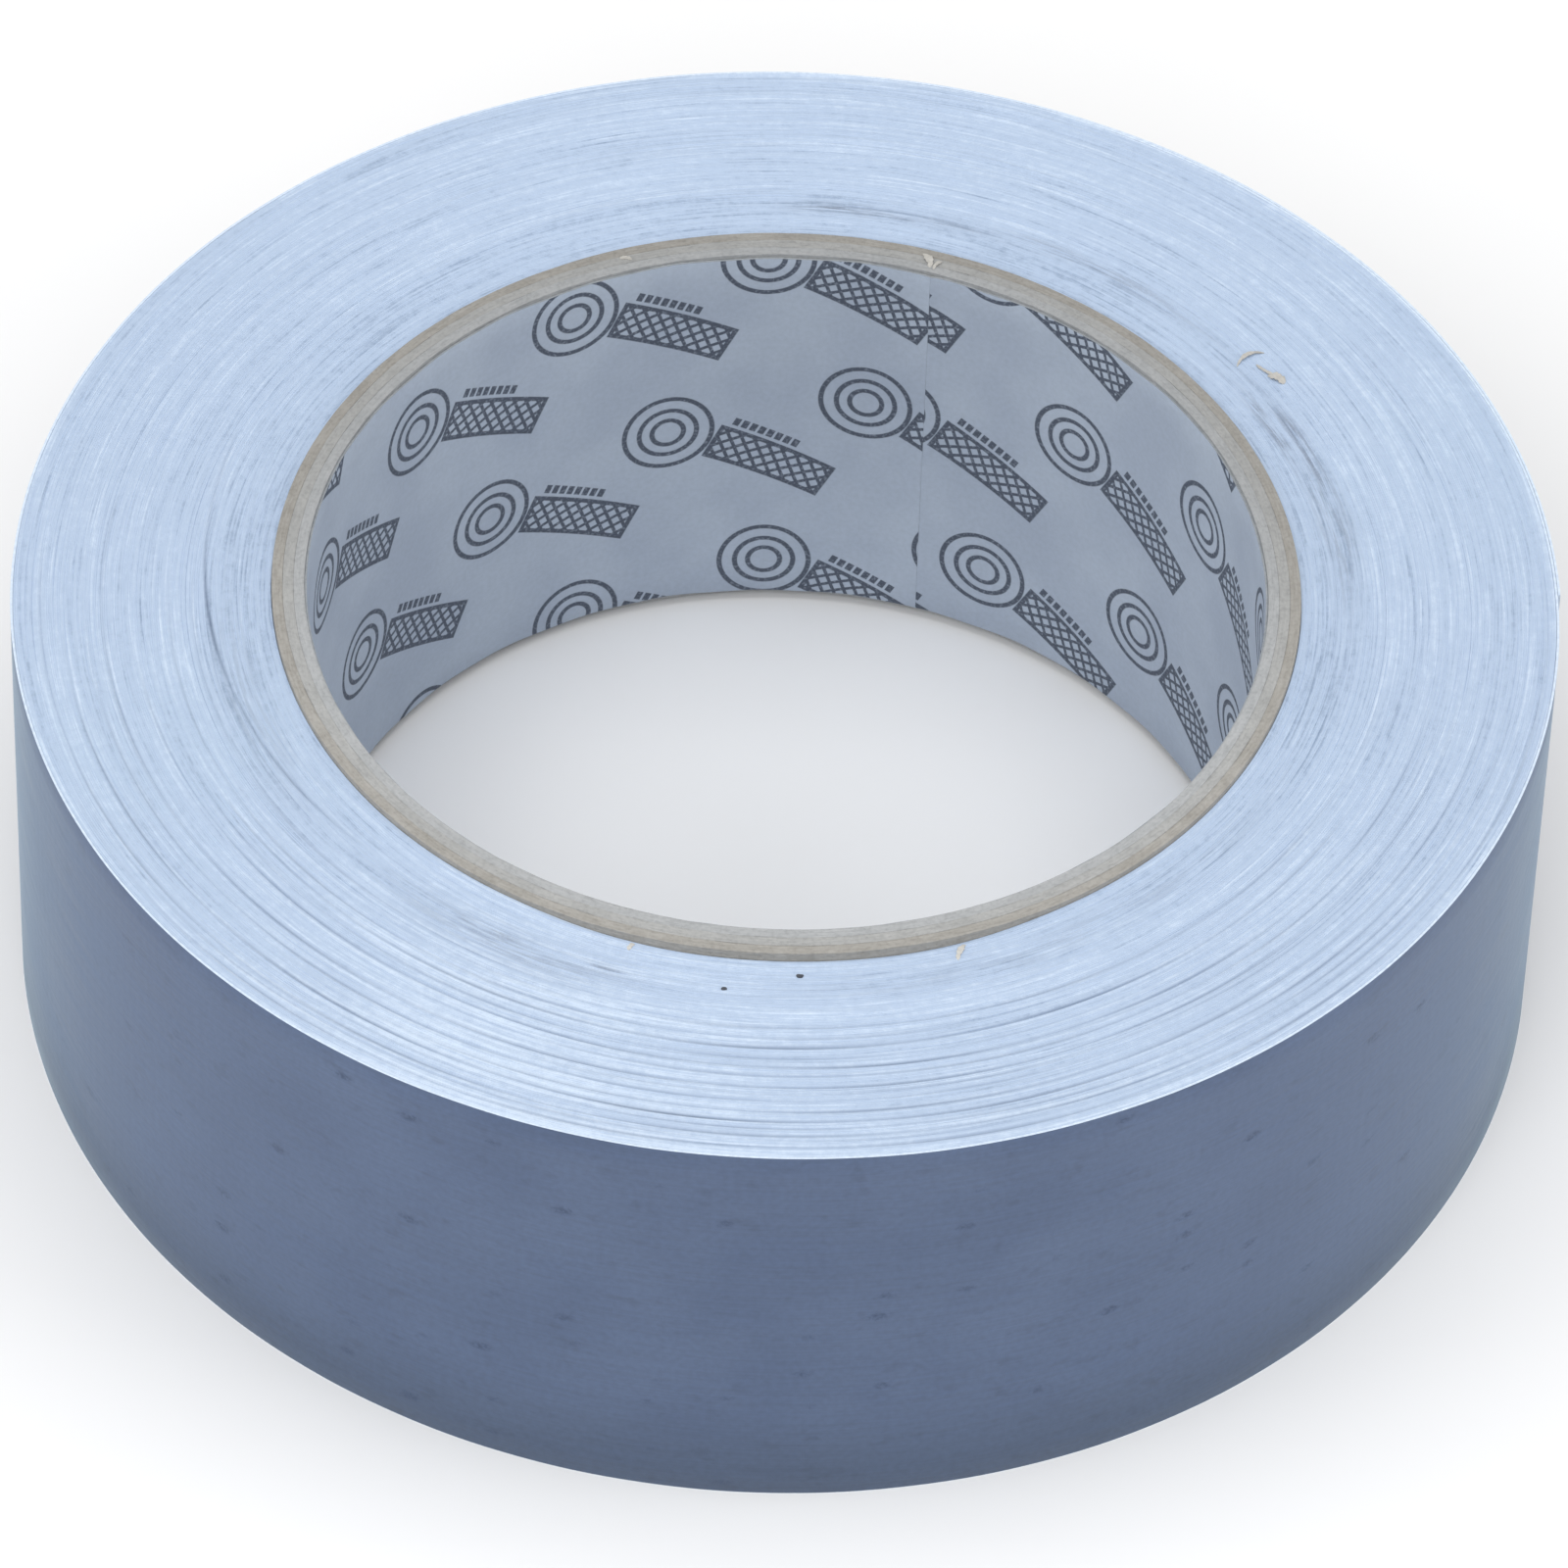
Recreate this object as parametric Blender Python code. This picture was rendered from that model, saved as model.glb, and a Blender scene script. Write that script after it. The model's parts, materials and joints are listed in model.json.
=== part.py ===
"""Roll of cloth-backed duct tape, lying on one of its side faces.

A paperboard core of three glued boards carries a printed paper liner in its bore. The tape is
wound round the core as one long strip. The last turn of that strip and its free end are solids
of their own, because the free end peels away from the roll. The free end is a chain of short
lengths: each one turns on the line where it joins the length before it.

The origin is the middle of the lower side face, on the roll's axis, with +Z up along that axis.
"""

import math

import bmesh
import bpy
from mathutils import Matrix, Vector

# Sizes that can be set by themselves, in metres.
BORE_DIAMETER = 0.0760
LINER_THICKNESS = 0.00025
BOARD_THICKNESS = 0.00055
CORE_STANDS_PROUD = 0.0008
ROLL_DIAMETER = 0.1230
TAPE_WIDTH = 0.0385
TAPE_THICKNESS = 0.0002
LINER_SEAM_WIDTH = 0.0004
TAIL_LENGTHS = 8
TAIL_LENGTH = 0.0090

# Directions round the roll's axis, in degrees from +X towards +Y.
LINER_SEAM_ANGLE = 73.4
FREE_END_ANGLE = 2.0

# Clearances, in metres: glue between boards, air under the last turn, and room at each fold.
GLUE_LINE = 0.0003
TURN_CLEARANCE = 0.0003
FOLD_CLEARANCE = 0.0004

# Facets of a full circle, and of one length of the free end.
ROUND_STEPS = 180
TAIL_STEPS = 4

# Materials: colour, roughness, metallic.
LINER_PAPER = ((0.29, 0.34, 0.42), 0.75, 0.0)
GREY_BOARD = ((0.40, 0.40, 0.38), 0.90, 0.0)
PLAIN_BOARD = ((0.38, 0.35, 0.30), 0.90, 0.0)
KRAFT_BOARD = ((0.33, 0.27, 0.20), 0.90, 0.0)
TAPE_EDGES = ((0.55, 0.66, 0.80), 0.55, 0.0)
TAPE_FILM = ((0.13, 0.17, 0.26), 0.45, 0.0)

# Radii that follow from the sizes.
BORE_RADIUS = BORE_DIAMETER / 2
LINER_OUTER_RADIUS = BORE_RADIUS + LINER_THICKNESS
BOARD_PITCH = GLUE_LINE + BOARD_THICKNESS
BOARD_NAMES = ("inner", "middle", "outer")
CORE_RADIUS = LINER_OUTER_RADIUS + len(BOARD_NAMES) * BOARD_PITCH
ROLL_RADIUS = ROLL_DIAMETER / 2
WINDING_RADIUS = ROLL_RADIUS - 2 * TAPE_THICKNESS - TURN_CLEARANCE
FOLD_RADIUS = ROLL_RADIUS - TAPE_THICKNESS / 2

# Heights and directions that follow from the sizes. The core is as long as the tape is wide.
CORE_BOTTOM = CORE_STANDS_PROUD
CORE_TOP = CORE_BOTTOM + TAPE_WIDTH
TAIL_STEP_ANGLE = TAIL_LENGTH / FOLD_RADIUS
PEEL_ANGLE = math.radians(FREE_END_ANGLE) + TAIL_LENGTHS * TAIL_STEP_ANGLE
FOLD_ANGLE = FOLD_CLEARANCE / FOLD_RADIUS

UP = Vector((0, 0, 1))
SHARP_ANGLE = math.radians(30)


def clear_scene():
    """Removes every object of the scene."""
    for obj in list(bpy.data.objects):
        bpy.data.objects.remove(obj, do_unlink=True)


def finish_material(name, look):
    """A Principled BSDF material with the given colour, roughness and metallic value."""
    colour, roughness, metallic = look
    material = bpy.data.materials.new(name)
    material.use_nodes = True
    shader = material.node_tree.nodes["Principled BSDF"]
    shader.inputs["Base Color"].default_value = (*colour, 1)
    shader.inputs["Roughness"].default_value = roughness
    shader.inputs["Metallic"].default_value = metallic
    material.diffuse_color = (*colour, 1)
    return material


def add_object(name, mesh, material):
    """An object that shows this mesh in this material."""
    if not mesh.materials:
        mesh.materials.append(material)
    obj = bpy.data.objects.new(name, mesh)
    bpy.context.scene.collection.objects.link(obj)
    return obj


def smooth_mesh(name, shape):
    """A mesh made from a bmesh, smooth round the roll and sharp at its corners."""
    bmesh.ops.recalc_face_normals(shape, faces=shape.faces)
    mesh = bpy.data.meshes.new(name)
    shape.to_mesh(mesh)
    shape.free()
    mesh.shade_smooth()
    mesh.set_sharp_from_angle(angle=SHARP_ANGLE)
    return mesh


def wall_section(shape, radius, outer_radius, bottom, top):
    """The four corners of a wall's section, in the plane of X and Z, and the face between them."""
    corners = [
        shape.verts.new((radius, 0, bottom)),
        shape.verts.new((outer_radius, 0, bottom)),
        shape.verts.new((outer_radius, 0, top)),
        shape.verts.new((radius, 0, top)),
    ]
    return shape.faces.new(corners)


def tube(name, radius, outer_radius, bottom, top):
    """A closed tube round the axis, spun from the edges of its wall's section."""
    shape = bmesh.new()
    section = wall_section(shape, radius, outer_radius, bottom, top)
    outline = list(section.edges)
    bmesh.ops.delete(shape, geom=[section], context="FACES_ONLY")
    bmesh.ops.spin(
        shape,
        geom=outline,
        cent=(0, 0, 0),
        axis=UP,
        angle=2 * math.pi,
        steps=ROUND_STEPS,
        use_merge=True,
    )
    return smooth_mesh(name, shape)


def split_tube(name, radius, outer_radius, bottom, top, seam_angle, seam_width):
    """A tube with a straight gap along it, as a sheet that is rolled round until its edges meet."""
    shape = bmesh.new()
    section = wall_section(shape, radius, outer_radius, bottom, top)
    gap_angle = seam_width / radius
    start = Matrix.Rotation(seam_angle + gap_angle / 2, 3, UP)
    bmesh.ops.rotate(shape, verts=shape.verts, cent=(0, 0, 0), matrix=start)
    bmesh.ops.spin(
        shape,
        geom=[section, *section.edges, *section.verts],
        cent=(0, 0, 0),
        axis=UP,
        angle=2 * math.pi - gap_angle,
        steps=ROUND_STEPS,
    )
    return smooth_mesh(name, shape)


def last_turn_radius(share):
    """The outer radius of the last turn. It climbs by one tape thickness from its start to the peel line."""
    return ROLL_RADIUS - TAPE_THICKNESS * (1 - share)


def last_turn(name):
    """The last turn as far as the peel line: a thin wall that runs clockwise round the roll and climbs."""
    shape = bmesh.new()
    start = math.radians(FREE_END_ANGLE) - FOLD_ANGLE / 2
    sweep = 2 * math.pi - TAIL_LENGTHS * TAIL_STEP_ANGLE - FOLD_ANGLE
    steps = round(ROUND_STEPS * sweep / (2 * math.pi))
    sections = []
    for step in range(steps + 1):
        share = step / steps
        turn = Matrix.Rotation(start - sweep * share, 3, UP)
        outer_radius = last_turn_radius(share)
        radius = outer_radius - TAPE_THICKNESS
        corners = ((radius, 0), (outer_radius, 0), (outer_radius, TAPE_WIDTH), (radius, TAPE_WIDTH))
        sections.append([shape.verts.new(turn @ Vector((x, 0, z))) for x, z in corners])
    shape.faces.new(sections[0])
    shape.faces.new(sections[-1])
    for before, after in zip(sections, sections[1:]):
        for corner in range(4):
            beside = (corner + 1) % 4
            shape.faces.new((before[corner], before[beside], after[beside], after[corner]))
    return smooth_mesh(name, shape)


def tail_length(name):
    """One length of the free end, bent to the roll: its fold is on the origin, and it runs towards +X."""
    shape = bmesh.new()
    section = wall_section(shape, -TAPE_THICKNESS / 2, TAPE_THICKNESS / 2, 0, TAPE_WIDTH)
    to_outside = Matrix.Rotation(math.pi / 2, 3, UP)
    bmesh.ops.rotate(shape, verts=shape.verts, cent=(0, 0, 0), matrix=to_outside)
    roll_centre = Vector((0, -FOLD_RADIUS, 0))
    past_fold = Matrix.Rotation(-FOLD_ANGLE / 2, 3, UP)
    bmesh.ops.rotate(shape, verts=shape.verts, cent=roll_centre, matrix=past_fold)
    bmesh.ops.spin(
        shape,
        geom=[section, *section.edges, *section.verts],
        cent=roll_centre,
        axis=UP,
        angle=FOLD_ANGLE - TAIL_STEP_ANGLE,
        steps=TAIL_STEPS,
    )
    return smooth_mesh(name, shape)


def build_core():
    """The liner with its seam, and the three boards round it, each a glue line apart."""
    seam_angle = math.radians(LINER_SEAM_ANGLE)
    liner = split_tube(
        "core_liner",
        BORE_RADIUS,
        LINER_OUTER_RADIUS,
        CORE_BOTTOM,
        CORE_TOP,
        seam_angle,
        LINER_SEAM_WIDTH,
    )
    add_object("core_liner", liner, finish_material("liner_paper", LINER_PAPER))
    looks = (GREY_BOARD, PLAIN_BOARD, KRAFT_BOARD)
    for place, (board_name, look) in enumerate(zip(BOARD_NAMES, looks)):
        radius = LINER_OUTER_RADIUS + GLUE_LINE + place * BOARD_PITCH
        name = f"core_board_{board_name}"
        board = tube(name, radius, radius + BOARD_THICKNESS, CORE_BOTTOM, CORE_TOP)
        add_object(name, board, finish_material(f"{board_name}_board", look))


def build_tape():
    """The wound tape, and its last turn round it."""
    winding = tube("tape_winding", CORE_RADIUS + TURN_CLEARANCE, WINDING_RADIUS, 0, TAPE_WIDTH)
    add_object("tape_winding", winding, finish_material("tape_edges", TAPE_EDGES))
    film = finish_material("tape_film", TAPE_FILM)
    add_object("tape_outer_turn", last_turn("tape_outer_turn"), film)
    return film


def build_tail(film):
    """The free end: each length hangs on the one before it, with its origin on the fold between them."""
    length = tail_length("tape_tail_length")
    to_next_fold = Vector(
        (
            FOLD_RADIUS * math.sin(TAIL_STEP_ANGLE),
            FOLD_RADIUS * (math.cos(TAIL_STEP_ANGLE) - 1),
            0,
        )
    )
    before = None
    for number in range(1, TAIL_LENGTHS + 1):
        obj = add_object(f"tape_tail_{number}", length, film)
        if before is None:
            obj.location = Matrix.Rotation(PEEL_ANGLE, 3, UP) @ Vector((FOLD_RADIUS, 0, 0))
            obj.rotation_euler.z = PEEL_ANGLE - math.pi / 2
        else:
            obj.parent = before
            obj.location = to_next_fold
            obj.rotation_euler.z = -TAIL_STEP_ANGLE
        before = obj


clear_scene()
build_core()
build_tail(build_tape())
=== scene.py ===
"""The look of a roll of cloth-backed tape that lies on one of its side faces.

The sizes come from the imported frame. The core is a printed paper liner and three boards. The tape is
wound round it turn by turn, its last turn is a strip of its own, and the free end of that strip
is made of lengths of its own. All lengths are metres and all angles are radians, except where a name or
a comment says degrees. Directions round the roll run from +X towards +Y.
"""

from __future__ import annotations

import json
import logging
import math
from collections.abc import Callable
from dataclasses import dataclass, field
from enum import Enum

import bmesh
import bpy
import numpy as np
from mathutils import Matrix, Vector

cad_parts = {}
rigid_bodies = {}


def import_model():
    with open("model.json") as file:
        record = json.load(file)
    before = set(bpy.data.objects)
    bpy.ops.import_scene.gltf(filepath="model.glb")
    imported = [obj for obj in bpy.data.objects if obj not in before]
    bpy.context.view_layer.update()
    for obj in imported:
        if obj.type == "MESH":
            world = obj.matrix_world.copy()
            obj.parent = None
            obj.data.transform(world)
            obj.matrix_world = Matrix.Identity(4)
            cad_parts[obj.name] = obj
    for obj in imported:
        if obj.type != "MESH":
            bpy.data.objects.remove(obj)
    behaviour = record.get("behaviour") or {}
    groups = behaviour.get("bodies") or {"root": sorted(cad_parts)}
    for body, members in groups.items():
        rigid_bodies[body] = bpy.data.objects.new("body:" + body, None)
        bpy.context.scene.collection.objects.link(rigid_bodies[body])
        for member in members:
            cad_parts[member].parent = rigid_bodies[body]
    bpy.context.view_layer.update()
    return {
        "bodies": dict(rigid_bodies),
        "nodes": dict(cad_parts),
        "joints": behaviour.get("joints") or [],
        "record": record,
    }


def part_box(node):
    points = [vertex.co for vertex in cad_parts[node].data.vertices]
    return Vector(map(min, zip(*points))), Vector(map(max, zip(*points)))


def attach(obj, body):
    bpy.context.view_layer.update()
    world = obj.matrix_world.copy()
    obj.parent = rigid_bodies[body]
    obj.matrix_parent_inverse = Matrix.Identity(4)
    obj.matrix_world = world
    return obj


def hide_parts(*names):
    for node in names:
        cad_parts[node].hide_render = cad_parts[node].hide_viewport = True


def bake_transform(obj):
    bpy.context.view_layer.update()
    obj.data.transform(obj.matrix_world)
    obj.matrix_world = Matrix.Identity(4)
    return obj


MM = 0.001
FULL_TURN = 2 * math.pi
STRIP_MAP = "strip"
PRINT_MAP = "print"
TONE = "tone"
GRIME = "grime"
# painted shade of the clefts between turns
CLEFT_SHADE = "cleft"
MOST_PARTS = 100
TOUCHING = 0.001 * MM

log = logging.getLogger("tape_roll")


class Slot(Enum):
    """The record's material slots."""

    LINER = "liner_paper"
    INNER_BOARD = "grey_board"
    MIDDLE_BOARD = "plain_board"
    OUTER_BOARD = "kraft_board"
    TURN_EDGES = "tape_edges"
    FILM = "tape_film"


class Face(Enum):
    """The sides of a flat strip before it is wound: the number is the place of its material."""

    OUTSIDE = 0
    INSIDE = 1
    EDGE = 2


# ---------------------------------------------------------------- work at the bench


def lay_down_tools() -> None:
    """Leaves edit mode and selects nothing."""
    active = bpy.context.view_layer.objects.active
    if active is not None and active.mode != "OBJECT":
        bpy.ops.object.mode_set(mode="OBJECT")
    bpy.ops.object.select_all(action="DESELECT")


def take_up(piece: bpy.types.Object) -> None:
    """Selects one piece alone and makes it the active one.

    Args:
        piece: The piece.
    """
    lay_down_tools()
    piece.select_set(True)
    bpy.context.view_layer.objects.active = piece


def name_piece(piece: bpy.types.Object, name: str) -> None:
    """Gives a piece and its mesh the same name."""
    piece.name = name
    piece.data.name = name


def select_edges(piece: bpy.types.Object, wanted: Callable[[Vector, Vector], bool]) -> None:
    """Selects edges of the piece that is in edit mode.

    Args:
        piece: The piece in edit mode.
        wanted: Says of an edge's middle and its direction whether it is selected.
    """
    bpy.ops.mesh.select_mode(type="EDGE")
    bpy.ops.mesh.select_all(action="DESELECT")
    shape = bmesh.from_edit_mesh(piece.data)
    for edge in shape.edges:
        start, end = (vert.co for vert in edge.verts)
        if wanted((start + end) / 2, (end - start).normalized()):
            edge.select_set(True)
    bmesh.update_edit_mesh(piece.data)


def select_verts(piece: bpy.types.Object, wanted: Callable[[Vector], bool]) -> None:
    """Selects vertices of the piece that is in edit mode.

    Args:
        piece: The piece in edit mode.
        wanted: Says of a vertex's place whether it is selected.
    """
    bpy.ops.mesh.select_mode(type="VERT")
    bpy.ops.mesh.select_all(action="DESELECT")
    shape = bmesh.from_edit_mesh(piece.data)
    for vert in shape.verts:
        if wanted(vert.co):
            vert.select_set(True)
    bmesh.update_edit_mesh(piece.data)


def part_edges(piece: bpy.types.Object, wanted: Callable[[Vector, Vector], bool], parts: int) -> None:
    """Parts edges of the piece in edit mode evenly, in as many goes as the tool's limit needs.

    Args:
        piece: The piece in edit mode.
        wanted: Says of an edge's middle and its direction whether it is parted.
        parts: How many parts each edge ends up in.
    """
    while parts > MOST_PARTS and parts % 2 == 0:
        select_edges(piece, wanted)
        bpy.ops.mesh.subdivide(number_cuts=1)
        parts //= 2
    select_edges(piece, wanted)
    bpy.ops.mesh.subdivide(number_cuts=parts - 1)


def upright_section(name: str, inner: float, outer: float, bottom: float, top: float) -> bpy.types.Object:
    """A flat rectangle that stands over +X, as the section of a ring round the roll's axis.

    Args:
        name: The piece's name.
        inner: The ring's smaller radius.
        outer: The ring's larger radius.
        bottom: Height of the lower edge.
        top: Height of the upper edge.

    Returns:
        The section, in object mode.
    """
    lay_down_tools()
    middle = ((inner + outer) / 2, 0, (bottom + top) / 2)
    bpy.ops.mesh.primitive_plane_add(size=1, location=middle, rotation=(math.pi / 2, 0, 0), calc_uvs=False)
    section = bpy.context.object
    section.scale = (outer - inner, top - bottom, 1)
    bpy.ops.object.transform_apply(location=True, rotation=True, scale=True)
    name_piece(section, name)
    return section


def spin_round(piece: bpy.types.Object, steps: int) -> None:
    """Spins the outline of the piece in edit mode into a closed ring round the roll's axis.

    Args:
        piece: The piece in edit mode.
        steps: Facets of the full circle.
    """
    bpy.ops.mesh.select_all(action="SELECT")
    bpy.ops.mesh.spin(
        steps=steps,
        angle=FULL_TURN,
        use_auto_merge=True,
        center=(0, 0, 0),
        axis=(0, 0, 1),
    )
    bpy.ops.mesh.select_all(action="SELECT")
    bpy.ops.mesh.remove_doubles(threshold=TOUCHING)
    bpy.ops.mesh.normals_make_consistent(inside=False)
    bpy.ops.object.mode_set(mode="OBJECT")


def smooth(piece: bpy.types.Object, degrees: float) -> None:
    """Shades a piece smooth where its faces meet at less than this angle."""
    take_up(piece)
    bpy.ops.object.shade_smooth_by_angle(angle=math.radians(degrees))


def join_up(pieces: list[bpy.types.Object], name: str, degrees: float) -> bpy.types.Object:
    """Joins pieces into one.

    Args:
        pieces: The pieces.
        name: The joined piece's name.
        degrees: It is shaded smooth where its faces meet at less than this angle.

    Returns:
        The joined piece.
    """
    take_up(pieces[0])
    for piece in pieces[1:]:
        piece.select_set(True)
    bpy.ops.object.join()
    joined = bpy.context.object
    name_piece(joined, name)
    smooth(joined, degrees)
    return joined


def places_of(piece: bpy.types.Object) -> np.ndarray:
    """Reads where a piece's vertices are.

    Args:
        piece: The piece.

    Returns:
        The places, one row each.
    """
    places = np.empty(len(piece.data.vertices) * 3, np.float32)
    piece.data.vertices.foreach_get("co", places)
    return places.reshape(-1, 3).astype(float)


def put_places(piece: bpy.types.Object, places: np.ndarray) -> None:
    """Moves a piece's vertices to these places."""
    piece.data.vertices.foreach_set("co", places.astype(np.float32).ravel())
    piece.data.update()


def polar_of(places: np.ndarray) -> tuple[np.ndarray, np.ndarray]:
    """The distances of places from the roll's axis, and their directions round it."""
    return np.hypot(places[:, 0], places[:, 1]), np.arctan2(places[:, 1], places[:, 0])


def ease(share: np.ndarray) -> np.ndarray:
    """Softens both ends of shares that go from 0 to 1."""
    return share * share * (3 - 2 * share)


def write_attribute(piece: bpy.types.Object, name: str, values: np.ndarray) -> None:
    """Stores one number for each vertex of a piece, for its finish to read."""
    attribute = piece.data.attributes.new(name, "FLOAT", "POINT")
    attribute.data.foreach_set("value", values.astype(np.float32))


def write_map(piece: bpy.types.Object, name: str, along: np.ndarray, across: np.ndarray) -> None:
    """Gives a piece a flat map in metres, which its pattern follows wherever the piece is bent.

    Args:
        piece: The piece.
        name: The map's name.
        along: For each vertex, how far along the strip or sheet it is.
        across: For each vertex, how far across it is.
    """
    corners = np.empty(len(piece.data.loops), np.int32)
    piece.data.loops.foreach_get("vertex_index", corners)
    flat = np.stack([along[corners], across[corners]], axis=1)
    layer = piece.data.uv_layers.new(name=name)
    layer.uv.foreach_set("vector", flat.astype(np.float32).ravel())


def flat_strip(
    name: str,
    start: float,
    end: float,
    thickness: float,
    bottom: float,
    top: float,
    step: float,
    rows: int,
    round_edge: float,
) -> bpy.types.Object:
    """A flat strip, laid out along +X with its outside towards +Y, ready to be wound.

    Args:
        name: The piece's name.
        start: Where it begins, along X.
        end: Where it ends, along X.
        thickness: Its thickness, centred on Y = 0.
        bottom: Height of its lower edge.
        top: Height of its upper edge.
        step: The length of one facet along the strip.
        rows: The number of facets across the strip.
        round_edge: How far the corners of its long edges are rounded.

    Returns:
        The strip, with its sides numbered as Face says.
    """
    lay_down_tools()
    middle = ((start + end) / 2, 0, (bottom + top) / 2)
    bpy.ops.mesh.primitive_cube_add(size=1, location=middle, calc_uvs=False)
    strip = bpy.context.object
    strip.scale = (end - start, thickness, top - bottom)
    bpy.ops.object.transform_apply(location=True, rotation=True, scale=True)
    name_piece(strip, name)
    bpy.ops.object.mode_set(mode="EDIT")
    select_edges(strip, lambda middle, direction: abs(direction.x) > 0.9)
    bpy.ops.mesh.bevel(offset=round_edge, segments=2, affect="EDGES")
    facets = 4 * max(1, round((end - start) / (4 * step)))
    part_edges(strip, lambda middle, direction: abs(direction.x) > 0.9, facets)
    half_flat = (top - bottom) / 2 - 2 * round_edge
    centre = (top + bottom) / 2
    part_edges(
        strip,
        lambda middle, direction: abs(direction.z) > 0.9 and abs(middle.z - centre) < half_flat,
        rows,
    )
    bpy.ops.object.mode_set(mode="OBJECT")
    for polygon in strip.data.polygons:
        flatness = polygon.normal.y
        side = Face.OUTSIDE if flatness > 0.95 else Face.INSIDE if flatness < -0.95 else Face.EDGE
        polygon.material_index = side.value
    return strip


# ---------------------------------------------------------------- sizes from the frame


def radii_of(node: bpy.types.Object) -> tuple[float, float]:
    """The smallest and largest distance of a node's vertices from the roll's axis."""
    radii = np.hypot(*places_of(node)[:, :2].T)
    return float(radii.min()), float(radii.max())


@dataclass(frozen=True)
class RollSizes:
    """The sizes that every piece of the roll shares."""

    bore_radius: float
    core_radius: float
    core_bottom: float
    core_top: float
    roll_radius: float
    tape_thickness: float
    tape_width: float
    tape_bottom: float
    folds: tuple[Vector, ...]
    end_clearance: float

    @classmethod
    def of_frame(cls, frame: dict) -> RollSizes:
        """Reads the sizes off the frame's nodes and joints.


        Returns:
            The roll's sizes.
        """
        nodes = frame["nodes"]
        core_low, core_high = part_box("core_board_outer")
        tape_low, tape_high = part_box("tape_winding")
        tail_inner, tail_outer = radii_of(nodes["tape_tail_1"])
        folds = tuple(Vector(joint["pos_m"]) for joint in frame["joints"])
        tail_start = places_of(nodes["tape_tail_1"])
        fold_angle = math.atan2(folds[0].y, folds[0].x)
        angles = np.arctan2(tail_start[:, 1], tail_start[:, 0])
        clearance = (fold_angle - float(angles.max())) * (tail_inner + tail_outer) / 2
        return cls(
            bore_radius=radii_of(nodes["core_liner"])[0],
            core_radius=radii_of(nodes["core_board_outer"])[1],
            core_bottom=core_low.z,
            core_top=core_high.z,
            roll_radius=tail_outer,
            tape_thickness=tail_outer - tail_inner,
            tape_width=tape_high.z - tape_low.z,
            tape_bottom=tape_low.z,
            folds=folds,
            end_clearance=clearance,
        )

    @property
    def core_height(self) -> float:
        """The length of the core."""
        return self.core_top - self.core_bottom

    @property
    def core_middle(self) -> float:
        """The height of the core's middle."""
        return (self.core_top + self.core_bottom) / 2

    @property
    def tape_top(self) -> float:
        """The height of the tape's upper side face."""
        return self.tape_bottom + self.tape_width

    @property
    def tape_middle(self) -> float:
        """The height of the tape's middle."""
        return self.tape_bottom + self.tape_width / 2

    @property
    def fold_radius(self) -> float:
        """The radius of the middle of the free end's wall."""
        return self.roll_radius - self.tape_thickness / 2

    @property
    def peel_angle(self) -> float:
        """The direction of the peel line at the first fold, where the free end starts."""
        return math.atan2(self.folds[0].y, self.folds[0].x)

    @property
    def fold_spacing(self) -> float:
        """Measures from one fold to the next.

        Returns:
            The length of strip between them.
        """
        first, second = self.folds[0], self.folds[1]
        turn = math.atan2(first.y, first.x) - math.atan2(second.y, second.x)
        return turn * self.fold_radius


# ---------------------------------------------------------------- finishes

Colour = tuple[float, float, float]
Socket = bpy.types.NodeSocket
Value = float | Socket


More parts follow.
